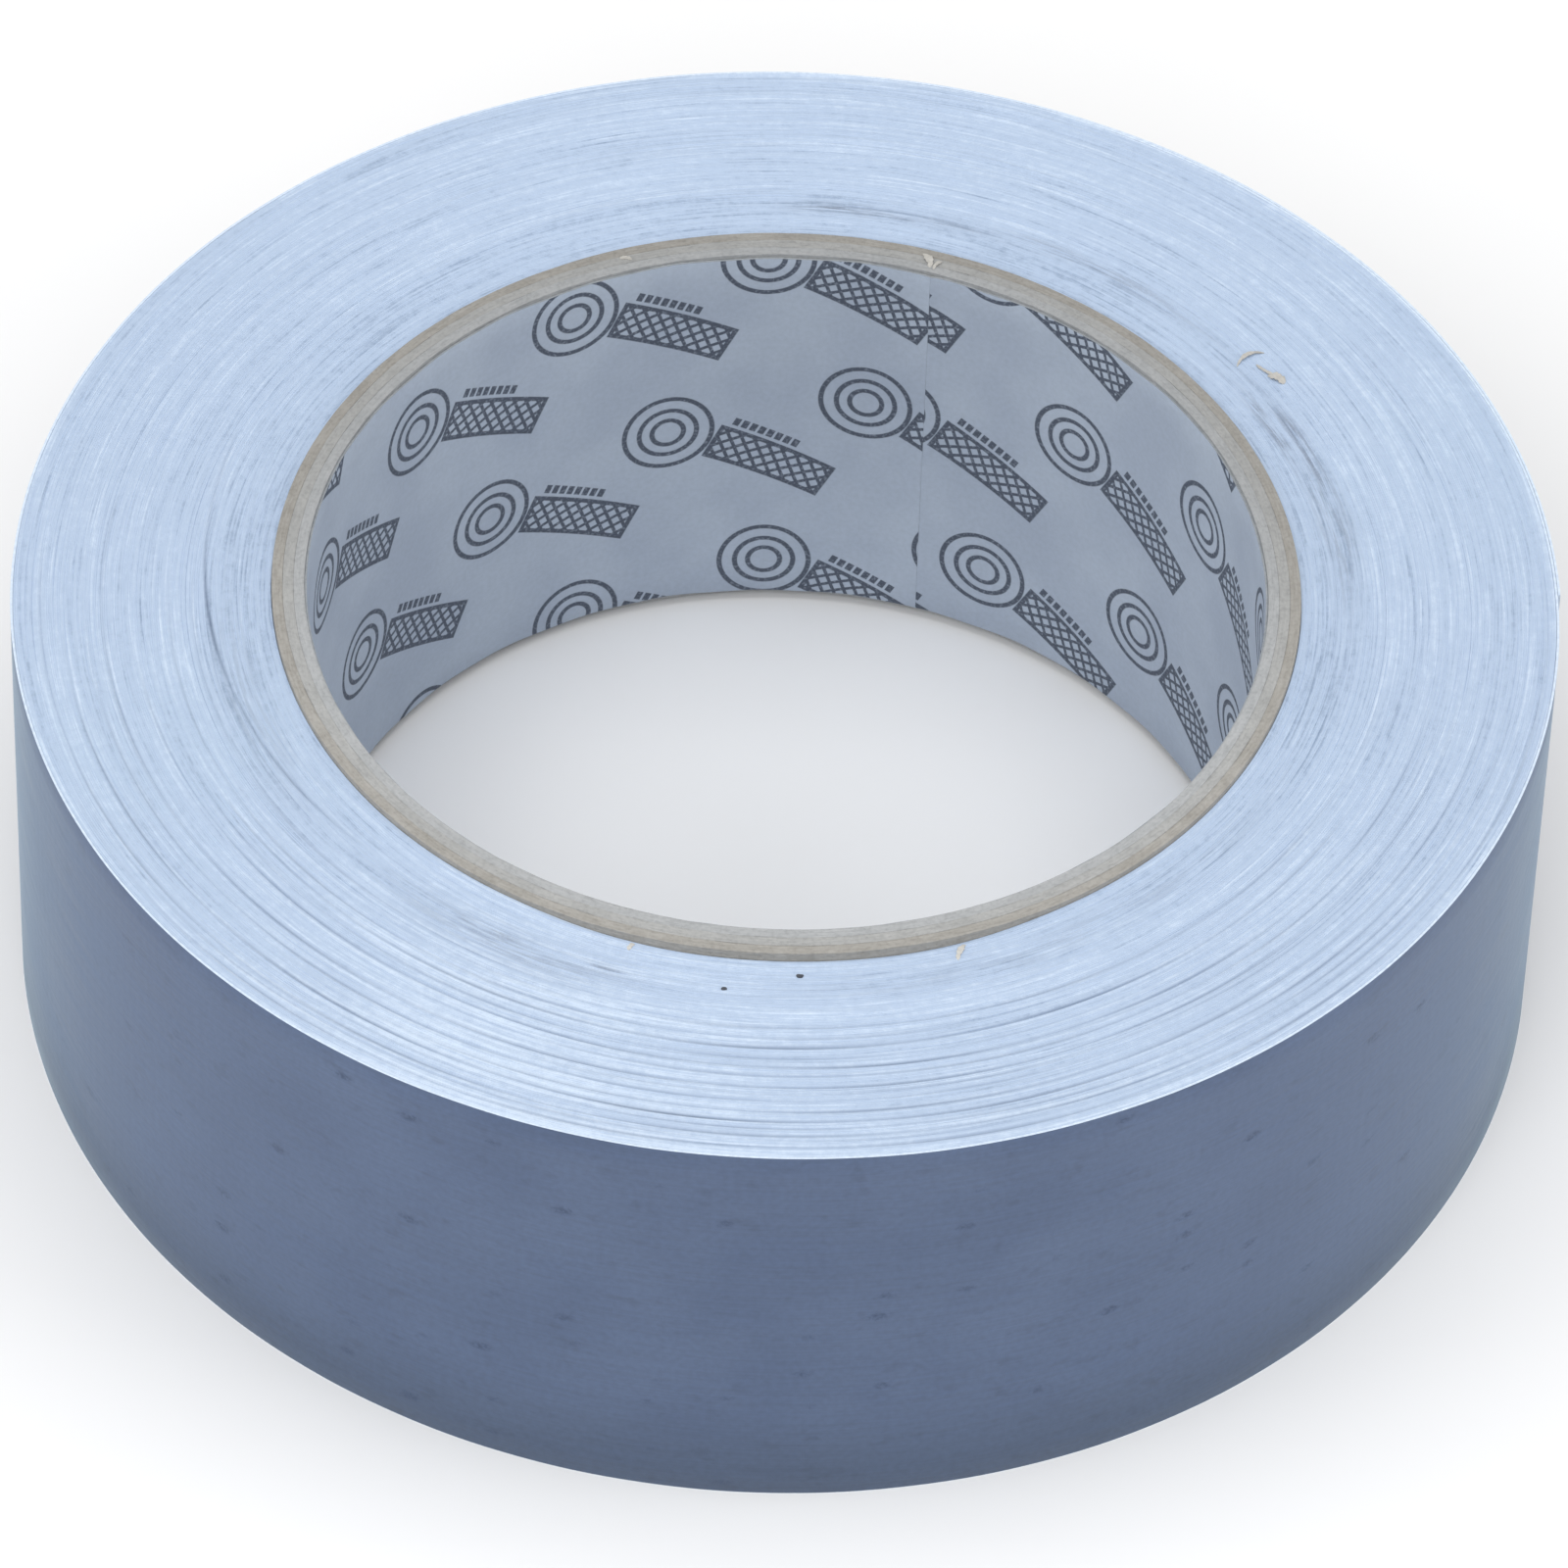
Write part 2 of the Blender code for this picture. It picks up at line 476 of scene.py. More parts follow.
class Recipe:
    """The node tree of one finish, built up step by step round a Principled shader."""

    def __init__(self, name: str, roughness: float, specular: float) -> None:
        """Starts a material.

        Args:
            name: The finish's name.
            roughness: The shader's roughness where no node drives it.
            specular: The shader's specular level.
        """
        self.material = bpy.data.materials.new(name)
        self.material.use_nodes = True
        self.tree = self.material.node_tree
        self.shader = self.tree.nodes["Principled BSDF"]
        self.shader.inputs["Roughness"].default_value = roughness
        self.shader.inputs["Specular IOR Level"].default_value = specular

    def join(self, value: Value | Colour, socket: Socket) -> None:
        """Feeds a socket.

        Args:
            value: Another socket to link it to, or a plain value to set.
            socket: The socket.
        """
        if isinstance(value, bpy.types.NodeSocket):
            self.tree.links.new(value, socket)
        else:
            socket.default_value = value

    def math(self, operation: str, first: Value, second: Value = 0.0, third: Value = 0.0) -> Socket:
        """Adds a Math node.

        Args:
            operation: What it works out.
            first: Its first value.
            second: Its second value, if it uses one.
            third: Its third value, if it uses one.

        Returns:
            The result.
        """
        node = self.tree.nodes.new("ShaderNodeMath")
        node.operation = operation
        for value, socket in zip((first, second, third), node.inputs):
            self.join(value, socket)
        return node.outputs[0]

    def vector_math(self, operation: str, first: Value | Colour, second: Value | Colour) -> Socket:
        """Adds a Vector Math node.

        Args:
            operation: What it works out.
            first: Its first vector.
            second: Its second vector.

        Returns:
            The vector that comes out.
        """
        node = self.tree.nodes.new("ShaderNodeVectorMath")
        node.operation = operation
        self.join(first, node.inputs[0])
        self.join(second, node.inputs[1])
        return node.outputs["Vector"]

    def split(self, vector: Socket) -> tuple[Socket, Socket, Socket]:
        """Takes a vector apart.

        Args:
            vector: The vector.

        Returns:
            Its three parts.
        """
        node = self.tree.nodes.new("ShaderNodeSeparateXYZ")
        self.join(vector, node.inputs[0])
        return tuple(node.outputs)

    def combine(self, x: Value, y: Value, z: Value = 0.0) -> Socket:
        """Puts a vector together.

        Args:
            x: Its first part.
            y: Its second part.
            z: Its third part.

        Returns:
            The vector.
        """
        node = self.tree.nodes.new("ShaderNodeCombineXYZ")
        for value, socket in zip((x, y, z), node.inputs):
            self.join(value, socket)
        return node.outputs[0]

    def places(self) -> Socket:
        """The piece's own coordinates."""
        return self.tree.nodes.new("ShaderNodeTexCoord").outputs["Object"]

    def flat_map(self, name: str) -> tuple[Socket, Socket]:
        """Reads a flat map of the piece.

        Args:
            name: The map's name.

        Returns:
            The distances along and across it, in metres.
        """
        node = self.tree.nodes.new("ShaderNodeUVMap")
        node.uv_map = name
        along, across, _ = self.split(node.outputs[0])
        return along, across

    def attribute(self, name: str) -> Socket:
        """Reads the number that each vertex holds.

        Args:
            name: The name that it is stored under.

        Returns:
            The number.
        """
        node = self.tree.nodes.new("ShaderNodeAttribute")
        node.attribute_name = name
        return node.outputs["Fac"]

    def total(self, *shares: tuple[Value, float]) -> Socket:
        """Adds up values.

        Args:
            shares: Each value, with what it is multiplied by.

        Returns:
            The sum.
        """
        result = 0.0
        for value, share in shares:
            result = self.math("MULTIPLY_ADD", value, share, result)
        return result

    def length(self, x: Socket, y: Socket) -> Socket:
        """How long a flat vector is, from its two parts."""
        return self.math("SQRT", self.math("ADD", self.math("POWER", x, 2.0), self.math("POWER", y, 2.0)))

    def polar(self, place: Socket) -> tuple[Socket, Socket, Socket]:
        """Finds where a place is round the roll.

        Args:
            place: The place.

        Returns:
            The distance from the roll's axis, and the direction's shares along +X and +Y.
        """
        x, y, _ = self.split(place)
        radius = self.length(x, y)
        return radius, self.math("DIVIDE", x, radius), self.math("DIVIDE", y, radius)

    def noise(self, vector: Socket, size: float, detail: float = 2.0, rough: float = 0.5) -> Socket:
        """Adds smooth noise.

        Args:
            vector: The place that it is read at.
            size: How large its lumps are.
            detail: How many finer layers it has.
            rough: How strong the finer layers are.

        Returns:
            The noise, from 0 to 1.
        """
        node = self.tree.nodes.new("ShaderNodeTexNoise")
        self.join(vector, node.inputs["Vector"])
        node.inputs["Scale"].default_value = 1 / size
        node.inputs["Detail"].default_value = detail
        node.inputs["Roughness"].default_value = rough
        return node.outputs["Fac"]

    def drawn_noise(
        self,
        place: tuple[Socket, Socket, Socket],
        turns: float,
        size: float,
        detail: float = 2.0,
        rough: float = 0.55,
    ) -> Socket:
        """Adds noise that is drawn out round the roll.

        Args:
            place: The distance from the roll's axis, and the direction's shares along +X and +Y.
            turns: How many lumps fit in one radian.
            size: How thick a lump is.
            detail: How many finer layers it has.
            rough: How strong the finer layers are.

        Returns:
            The noise, from 0 to 1.
        """
        depth, east, north = place
        vector = self.combine(
            self.math("MULTIPLY", east, turns),
            self.math("MULTIPLY", north, turns),
            self.math("DIVIDE", depth, size),
        )
        return self.noise(vector, 1.0, detail, rough)

    def cells(self, vector: Socket, size: float) -> tuple[Socket, Socket]:
        """Scatters points on a flat map.

        Args:
            vector: The place on the map.
            size: How far apart the points are.

        Returns:
            The distance to the nearest point as a share of the size, and a number of that point's own.
        """
        node = self.tree.nodes.new("ShaderNodeTexVoronoi")
        node.voronoi_dimensions = "2D"
        self.join(vector, node.inputs["Vector"])
        node.inputs["Scale"].default_value = 1 / size
        own, _, _ = self.split(node.outputs["Color"])
        return node.outputs["Distance"], own

    def span(
        self, value: Socket, low: float, high: float, at_low: float = 0.0, at_high: float = 1.0
    ) -> Socket:
        """Eases a value from one range to another.

        Args:
            value: The value.
            low: The start of its range.
            high: The end of its range.
            at_low: What comes out at the start and before it.
            at_high: What comes out at the end and past it.

        Returns:
            The eased value.
        """
        node = self.tree.nodes.new("ShaderNodeMapRange")
        node.interpolation_type = "SMOOTHSTEP"
        self.join(value, node.inputs["Value"])
        names = ("From Min", "From Max", "To Min", "To Max")
        for name, number in zip(names, (low, high, at_low, at_high)):
            node.inputs[name].default_value = number
        return node.outputs[0]

    def blend(self, share: Value, first: Value | Colour, second: Value | Colour) -> Socket:
        """Mixes two colours.

        Args:
            share: The second one's share.
            first: The first colour.
            second: The second colour.

        Returns:
            The mixed colour.
        """
        node = self.tree.nodes.new("ShaderNodeMix")
        node.data_type = "RGBA"
        node.clamp_result = True
        self.join(share, node.inputs[0])
        for value, socket in ((first, node.inputs[6]), (second, node.inputs[7])):
            self.join((*value, 1.0) if isinstance(value, tuple) else value, socket)
        return node.outputs[2]

    def shade(self, colour: Socket, amount: Socket) -> Socket:
        """A colour made lighter or darker by a factor near 1."""
        return self.vector_math("MULTIPLY", colour, self.combine(amount, amount, amount))

    def colour(self, colour: Socket) -> None:
        """Uses a colour as the finish's own."""
        self.join(colour, self.shader.inputs["Base Color"])

    def roughness(self, value: Socket) -> None:
        """Drives the finish's roughness."""
        self.join(value, self.shader.inputs["Roughness"])

    def bump(self, height: Socket, distance: float) -> None:
        """Adds fine relief.

        Args:
            height: How high each place is, from 0 to 1.
            distance: What 1 stands for.
        """
        node = self.tree.nodes.new("ShaderNodeBump")
        node.inputs["Strength"].default_value = 1.0
        node.inputs["Distance"].default_value = distance
        self.join(height, node.inputs["Height"])
        self.join(node.outputs["Normal"], self.shader.inputs["Normal"])


@dataclass(frozen=True)
class FilmFinish:
    """The tape's outside: a matt grey-blue film drawn over cloth, with a faint grain and freckles.

    It is painted darker and greyer towards its lower edge, as shade. The grain's two sizes are along and
    across the strip.
    """

    base: Colour = (0.062, 0.098, 0.188)
    pale: Colour = (0.082, 0.122, 0.218)
    fleck: Colour = (0.026, 0.050, 0.114)
    # painted shade: the colour that the film is blended to towards its lower edge
    foot_shade: Colour = (0.054, 0.082, 0.142)
    sheen: float = 0.27
    sheen_tint: Colour = (0.62, 0.86, 1.0)
    sheen_roughness: float = 0.35
    foot_shade_height: float = 11 * MM
    foot_shade_share: float = 0.75
    mottle_size: float = 11 * MM
    grain: tuple[float, float] = (14 * MM, 0.30 * MM)
    pore: float = 0.55 * MM
    blotch: float = 1.7 * MM
    blotch_stretch: float = 0.6
    blotch_depth: float = 0.11
    freckle_spacing: float = 3.1 * MM
    freckle_stretch: float = 0.50
    freckle_ragged: float = 0.90 * MM
    ragged_size: float = 0.45 * MM
    freckle_gaps: float = 0.30 * MM
    bare_share: float = 0.70
    freckle_sizes: tuple[float, float] = (0.10, 0.21)
    weave_pitch: float = 1.25 * MM
    weave_share: float = 0.10
    relief: float = 0.012 * MM

    def material(self) -> bpy.types.Material:
        """Makes the finish.

        Returns:
            The material.
        """
        recipe = Recipe("film", roughness=0.45, specular=0.50)
        recipe.shader.inputs["Sheen Weight"].default_value = self.sheen
        recipe.shader.inputs["Sheen Tint"].default_value = (*self.sheen_tint, 1.0)
        recipe.shader.inputs["Sheen Roughness"].default_value = self.sheen_roughness
        along, across = recipe.flat_map(STRIP_MAP)
        flat = recipe.combine(along, across)
        mottle = recipe.noise(flat, self.mottle_size, detail=3.0)
        drawn = recipe.combine(
            recipe.math("DIVIDE", along, self.grain[0]), recipe.math("DIVIDE", across, self.grain[1])
        )
        grain = recipe.noise(drawn, 1.0, detail=3.0, rough=0.6)
        tint = recipe.blend(recipe.span(mottle, 0.25, 0.75), self.base, self.pale)
        # painted shade: the film is blended darker and greyer towards its lower edge
        foot_shade = recipe.span(across, 0.0, self.foot_shade_height, self.foot_shade_share, 0.0)
        tint = recipe.blend(foot_shade, tint, self.foot_shade)
        pores = recipe.span(recipe.noise(flat, self.pore), 0.2, 0.8, -0.06, 0.08)
        shade = recipe.math("ADD", recipe.span(grain, 0.25, 0.75, 0.91, 1.05), pores)
        shade = recipe.math("SUBTRACT", shade, self.blotches(recipe, along, across))
        freckle = self.freckles(recipe, along, across)
        recipe.colour(recipe.blend(freckle, recipe.shade(tint, shade), self.fleck))
        recipe.roughness(recipe.span(recipe.math("ADD", mottle, grain), 0.7, 1.3, 0.40, 0.52))
        warp = recipe.math("SINE", recipe.math("MULTIPLY", across, FULL_TURN / self.weave_pitch))
        weft = recipe.math("SINE", recipe.math("MULTIPLY", along, FULL_TURN / self.weave_pitch))
        cloth = recipe.math("MULTIPLY", recipe.math("ADD", warp, weft), self.weave_share)
        recipe.bump(recipe.total((grain, 1.0), (cloth, 1.0), (freckle, -0.6)), self.relief)
        return recipe.material

    def blotches(self, recipe: Recipe, along: Socket, across: Socket) -> Socket:
        """Faint dark blotches.

        Args:
            recipe: The recipe in the making.
            along: The place along the strip.
            across: The place across the strip.

        Returns:
            How much darker each place is.
        """
        flat = recipe.combine(recipe.math("MULTIPLY", along, self.blotch_stretch), across)
        cloud = recipe.noise(flat, self.blotch, rough=0.6)
        return recipe.span(cloud, 0.56, 0.72, 0.0, self.blotch_depth)

    def freckles(self, recipe: Recipe, along: Socket, across: Socket) -> Socket:
        """Small ragged dark marks, on the few cells of the scatter whose own number is high.

        Args:
            recipe: The recipe in the making.
            along: The place along the strip.
            across: The place across the strip.

        Returns:
            1 in the middle of a dark mark and 0 where there is none.
        """
        flat = recipe.combine(along, across)
        lumps = recipe.noise(flat, self.ragged_size, detail=3.0)
        ragged = recipe.math("MULTIPLY", lumps, self.freckle_ragged)
        stretched = recipe.combine(
            recipe.math("ADD", recipe.math("MULTIPLY", along, self.freckle_stretch), ragged),
            recipe.math("SUBTRACT", across, ragged),
        )
        distance, own = recipe.cells(stretched, self.freckle_spacing)
        marked = recipe.span(own, self.bare_share, self.bare_share + 0.02)
        strength = recipe.math("MULTIPLY", recipe.span(own, self.bare_share, 1.0, 0.35, 1.0), marked)
        size = recipe.span(own, self.bare_share, 1.0, *self.freckle_sizes)
        inside = recipe.math("SUBTRACT", 1.0, recipe.math("DIVIDE", distance, size))
        broken = recipe.span(recipe.noise(flat, self.freckle_gaps), 0.38, 0.58, 0.35, 1.0)
        spot = recipe.math("MULTIPLY", recipe.span(inside, 0.0, 1.0), strength)
        return recipe.math("MULTIPLY", spot, broken)


@dataclass(frozen=True)
class AdhesiveFinish:
    """The tape's inside: a tacky pale coat over a cloth of fine threads."""

    coat: Colour = (0.60, 0.64, 0.68)
    thread: Colour = (0.40, 0.44, 0.50)
    warp_pitch: float = 1.25 * MM
    weft_pitch: float = 1.55 * MM
    sway: float = 0.5 * MM
    sway_size: float = 4 * MM
    blotch: float = 2.2 * MM
    relief: float = 0.04 * MM

    def material(self) -> bpy.types.Material:
        """Makes the finish.

        Returns:
            The material.
        """
        recipe = Recipe("adhesive", roughness=0.38, specular=0.5)
        along, across = recipe.flat_map(STRIP_MAP)
        flat = recipe.combine(along, across)
        sway = recipe.math("MULTIPLY", recipe.noise(flat, self.sway_size), self.sway)
        warp = self.thread_at(recipe, recipe.math("ADD", across, sway), self.warp_pitch)
        weft = self.thread_at(recipe, recipe.math("ADD", along, sway), self.weft_pitch)
        threads = recipe.math("MAXIMUM", warp, weft)
        blotch = recipe.noise(flat, self.blotch, detail=4.0)
        shown = recipe.math("MULTIPLY", threads, recipe.span(blotch, 0.2, 0.7, 0.35, 0.85))
        tint = recipe.blend(shown, self.coat, self.thread)
        recipe.colour(recipe.shade(tint, recipe.span(blotch, 0.3, 0.7, 0.93, 1.05)))
        recipe.roughness(recipe.span(blotch, 0.3, 0.7, 0.30, 0.50))
        recipe.bump(recipe.total((threads, 1.0), (blotch, 0.6)), self.relief)
        return recipe.material

    def thread_at(self, recipe: Recipe, place: Socket, pitch: float) -> Socket:
        """A row of round threads across one direction.

        Args:
            recipe: The recipe in the making.
            place: The coordinate that the threads lie across.
            pitch: The distance from thread to thread.

        Returns:
            1 on a thread's middle and 0 between the threads.
        """
        cell = recipe.math("FRACT", recipe.math("DIVIDE", place, pitch))
        off_middle = recipe.math("ABSOLUTE", recipe.math("SUBTRACT", cell, 0.5))
        return recipe.span(off_middle, 0.10, 0.20, 1.0, 0.0)


@dataclass(frozen=True)
class TurnEdgeFinish:
    """The cut edges of the wound turns: pale, fibrous, dirty where the blade dragged, and painted dark as
    shade in their clefts.

    A streak has a number of streaks in one radian, and a thickness.
    """

    base: Colour = (0.438, 0.538, 0.694)
    light: Colour = (0.595, 0.695, 0.830)
    dark: Colour = (0.275, 0.355, 0.485)
    dirt: Colour = (0.185, 0.218, 0.285)
    shadow: Colour = (0.150, 0.195, 0.280)
    fine_streak: tuple[float, float] = (7.0, 0.16 * MM)
    broad_streak: tuple[float, float] = (3.0, 1.3 * MM)
    dirt_streak: tuple[float, float] = (8.0, 0.30 * MM)
    fuzz_size: float = 0.22 * MM
    lint_size: float = 0.75 * MM
    dirt_most: float = 0.85
    shadow_most: float = 0.82
    relief: float = 0.05 * MM

    def material(self) -> bpy.types.Material:
        """Makes the finish.

        Returns:
            The material.
        """
        recipe = Recipe("turn_edges", roughness=0.6, specular=0.35)
        place = recipe.places()
        polar = recipe.polar(place)
        streak = recipe.drawn_noise(polar, *self.fine_streak)
        broad = recipe.drawn_noise(polar, *self.broad_streak)
        fuzz = recipe.noise(place, self.fuzz_size)
        lint = recipe.noise(place, self.lint_size, detail=3.0, rough=0.65)
        # the tone holds a painted rim highlight and painted sheen, as well as the turns' own differences
        tone = recipe.attribute(TONE)
        mixed = recipe.total((tone, 0.44), (streak, 0.17), (broad, 0.11), (lint, 0.30), (fuzz, 0.12))
        lower = recipe.blend(recipe.span(mixed, 0.30, 0.55), self.dark, self.base)
        tint = recipe.blend(recipe.span(mixed, 0.55, 0.85), lower, self.light)
        broken = recipe.drawn_noise(polar, *self.dirt_streak, detail=3.0, rough=0.6)
        grime = recipe.math("MULTIPLY", recipe.attribute(GRIME), recipe.span(broken, 0.42, 0.60, 0.12, 1.0))
        grime = recipe.math("MULTIPLY", grime, recipe.span(fuzz, 0.30, 0.60, 0.65, 1.0))
        tint = recipe.blend(recipe.math("MINIMUM", grime, self.dirt_most), tint, self.dirt)
        # painted shade: the clefts are blended towards the shadow colour
        cleft = recipe.math("MULTIPLY", recipe.attribute(CLEFT_SHADE), self.shadow_most)
        recipe.colour(recipe.blend(cleft, tint, self.shadow))
        recipe.roughness(recipe.span(streak, 0.3, 0.7, 0.52, 0.70))
        recipe.bump(recipe.total((streak, 0.7), (fuzz, 0.5)), self.relief)
        return recipe.material


@dataclass(frozen=True)
class StripEdgeFinish:
    """The cut edge of the last turn and the free end: the palest line of the roll, with frayed threads."""

    base: Colour = (0.56, 0.66, 0.80)
    light: Colour = (0.68, 0.78, 0.90)
    fray: float = 0.5 * MM
    relief: float = 0.04 * MM

    def material(self) -> bpy.types.Material:
        """Makes the finish.

        Returns:
            The material.
        """
        recipe = Recipe("strip_edge", roughness=0.6, specular=0.35)
        fray = recipe.noise(recipe.combine(*recipe.flat_map(STRIP_MAP)), self.fray, detail=3.0)
        recipe.colour(recipe.blend(recipe.span(fray, 0.3, 0.7), self.base, self.light))
        recipe.bump(fray, self.relief)
        return recipe.material


@dataclass(frozen=True)
class BoardFinish:
    """Rough paperboard: short fibres, layers that show at the cut ends, and small stains.

    Towards +Y it is painted darker as shade, and keeps only that share of its brightness there.
    """

    name: str
    base: Colour
    pale: Colour
    # painted shade: the share of brightness that the board keeps towards +Y
    darkening: float = 0.85
    layer: float = 0.28 * MM
    layer_share: float = 0.02
    fibre: tuple[float, float] = (26.0, 0.20 * MM)
    stain: float = 2.6 * MM
    speck: float = 0.35 * MM
    relief: float = 0.09 * MM

    def material(self) -> bpy.types.Material:
        """Makes the finish.

        Returns:
            The material.
        """
        recipe = Recipe(self.name, roughness=0.88, specular=0.25)
        place = recipe.places()
        radius, east, north = recipe.polar(place)
        _, _, height = recipe.split(place)
        depth = recipe.math("ADD", radius, height)
        fibre = recipe.drawn_noise((depth, east, north), *self.fibre, detail=4.0, rough=0.65)
        stain = recipe.noise(place, self.stain, detail=3.0)
        speck = recipe.noise(place, self.speck, detail=1.0)
        layers = recipe.math("SINE", recipe.math("MULTIPLY", radius, FULL_TURN / self.layer))
        mixed = recipe.total((fibre, 1.0), (stain, 0.5), (layers, self.layer_share))
        tint = recipe.blend(recipe.span(mixed, 0.40, 1.1), self.base, self.pale)
        tint = recipe.shade(tint, recipe.span(speck, 0.25, 0.6, 0.91, 1.03))
        # painted shade: the board is darker towards +Y
        recipe.colour(recipe.shade(tint, recipe.span(north, -0.5, 0.5, 1.0, self.darkening)))
        recipe.bump(recipe.total((fibre, 1.0), (speck, 0.7)), self.relief)
        return recipe.material


@dataclass(frozen=True)
class PrintedPaperFinish:
    """Pale blue-grey paper with a repeated print: a roll seen from its side, and a strip of cloth from it.

    The print is two lattices with the same steps. One holds the roll and the other the strip, with a
    row of small blocks above the strip. The hatch and the blocks cover a share of their pitch.
    """

    paper: Colour = (0.430, 0.492, 0.582)
    shaded: Colour = (0.378, 0.435, 0.528)
    ink: Colour = (0.078, 0.094, 0.128)
    cloud: float = 9 * MM
    pulp: float = 0.45 * MM
    wear: float = 0.28 * MM
    relief: float = 0.02 * MM
    step: tuple[float, float] = (16.45 * MM, 3.25 * MM)
    next_row: tuple[float, float] = (8.4 * MM, -15.5 * MM)
    roll_at: tuple[float, float] = (13.9 * MM, 26.6 * MM)
    ring_radii: tuple[float, ...] = (3.75 * MM, 2.45 * MM, 1.35 * MM)
    line: float = 0.44 * MM
    strip_offset: tuple[float, float] = (8.55 * MM, -3.9 * MM)
    strip_slope: float = math.radians(-26.5)
    strip_half: tuple[float, float] = (5.15 * MM, 1.65 * MM)
    hatch: float = 1.30 * MM
    hatch_share: float = 0.34
    blocks_offset: tuple[float, float] = (-1.6 * MM, 2.62 * MM)
    blocks_half: tuple[float, float] = (3.1 * MM, 0.42 * MM)
    blocks: float = 0.78 * MM
    blocks_share: float = 0.72
    edge: float = 0.06 * MM

    def material(self) -> bpy.types.Material:
        """Makes the finish.

        Returns:
            The material.
        """
        recipe = Recipe("printed_paper", roughness=0.72, specular=0.3)
        along, across = recipe.flat_map(PRINT_MAP)
        flat = recipe.combine(along, across)
        cloud = recipe.noise(flat, self.cloud, detail=3.0)
        pulp = recipe.noise(flat, self.pulp, detail=3.0, rough=0.6)
        sheet = recipe.blend(recipe.span(cloud, 0.3, 0.7), self.shaded, self.paper)
        sheet = recipe.shade(sheet, recipe.span(pulp, 0.25, 0.75, 0.95, 1.045))
        roll = self.roll_marks(recipe, along, across)
        printed = recipe.math("MAXIMUM", roll, self.strip_marks(recipe, along, across))
        worn = recipe.span(recipe.noise(flat, self.wear), 0.28, 0.52, 0.68, 1.0)
        recipe.colour(recipe.blend(recipe.math("MULTIPLY", printed, worn), sheet, self.ink))
        recipe.roughness(recipe.span(pulp, 0.3, 0.7, 0.64, 0.80))
        recipe.bump(recipe.total((pulp, 1.0), (cloud, 1.5)), self.relief)
        return recipe.material

    def nearest(
        self, recipe: Recipe, along: Socket, across: Socket, at: tuple[float, float]
    ) -> tuple[Socket, Socket]:
        """Where a place lies from the nearest mark of a lattice.

        Args:
            recipe: The recipe in the making.
            along: The place along the sheet.
            across: The place across the sheet.
            at: The place of one of the lattice's marks.

        Returns:
            The distances from the nearest mark, along and across.
        """
        (ax, ay), (bx, by) = self.step, self.next_row
        area = ax * by - ay * bx
        x = recipe.math("SUBTRACT", along, at[0])
        y = recipe.math("SUBTRACT", across, at[1])
        steps = recipe.math("ROUND", recipe.total((x, by / area), (y, -bx / area)))
        rows = recipe.math("ROUND", recipe.total((y, ax / area), (x, -ay / area)))
        near_x = recipe.total((x, 1.0), (rows, -bx), (steps, -ax))
        near_y = recipe.total((y, 1.0), (rows, -by), (steps, -ay))
        return near_x, near_y

    def stroke(self, recipe: Recipe, distance: Socket) -> Socket:
        """A line of ink where a distance is near 0."""
        off = recipe.math("ABSOLUTE", distance)
        return recipe.span(off, self.line / 2 - self.edge, self.line / 2 + self.edge, 1.0, 0.0)

    def box_distance(self, recipe: Recipe, x: Socket, y: Socket, half: tuple[float, float]) -> Socket:
        """How far a place is outside a box round the origin.

        Args:
            recipe: The recipe in the making.
            x: The place along the box.
            y: The place across the box.
            half: Half the box's length and half its width.

        Returns:
            The distance, negative inside the box.
        """
        beyond_x = recipe.math("SUBTRACT", recipe.math("ABSOLUTE", x), half[0])
        beyond_y = recipe.math("SUBTRACT", recipe.math("ABSOLUTE", y), half[1])
        return recipe.math("MAXIMUM", beyond_x, beyond_y)

    def roll_marks(self, recipe: Recipe, along: Socket, across: Socket) -> Socket:
        """The printed roll: rings round one another.

        Args:
            recipe: The recipe in the making.
            along: The place along the sheet.
            across: The place across the sheet.

        Returns:
            1 on the ink and 0 beside it.
        """
        distance = recipe.length(*self.nearest(recipe, along, across, self.roll_at))
        off_rings = [recipe.math("SUBTRACT", distance, radius) for radius in self.ring_radii]
        marks = self.stroke(recipe, off_rings[0])
        for off in off_rings[1:]:
            marks = recipe.math("MAXIMUM", marks, self.stroke(recipe, off))
        return marks

    def strip_marks(self, recipe: Recipe, along: Socket, across: Socket) -> Socket:
        """The printed strip: an outline filled with a woven hatch, and a row of small blocks above it.

        Args:
            recipe: The recipe in the making.
            along: The place along the sheet.
            across: The place across the sheet.

        Returns:
            1 on the ink and 0 beside it.
        """
        at = (self.roll_at[0] + self.strip_offset[0], self.roll_at[1] + self.strip_offset[1])
        near_x, near_y = self.nearest(recipe, along, across, at)
        cosine, sine = math.cos(self.strip_slope), math.sin(self.strip_slope)
        x = recipe.total((near_y, sine), (near_x, cosine))
        y = recipe.total((near_x, -sine), (near_y, cosine))
        outside = self.box_distance(recipe, x, y, self.strip_half)
        hatch = [
            self.ruling(recipe, recipe.math(way, x, y), self.hatch, self.hatch_share)
            for way in ("ADD", "SUBTRACT")
        ]
        filled = recipe.math("MULTIPLY", self.within(recipe, outside), recipe.math("MAXIMUM", *hatch))
        strip = recipe.math("MAXIMUM", self.stroke(recipe, outside), filled)
        blocks_x = recipe.math("SUBTRACT", x, self.blocks_offset[0])
        blocks_y = recipe.math("SUBTRACT", y, self.blocks_offset[1])
        row = self.within(recipe, self.box_distance(recipe, blocks_x, blocks_y, self.blocks_half))
        blocks = self.ruling(recipe, blocks_x, self.blocks, self.blocks_share)
        return recipe.math("MAXIMUM", strip, recipe.math("MULTIPLY", row, blocks))

    def within(self, recipe: Recipe, outside: Socket) -> Socket:
        """1 inside a shape and 0 outside it, from the distance outside it."""
        return recipe.span(outside, -self.edge, self.edge, 1.0, 0.0)

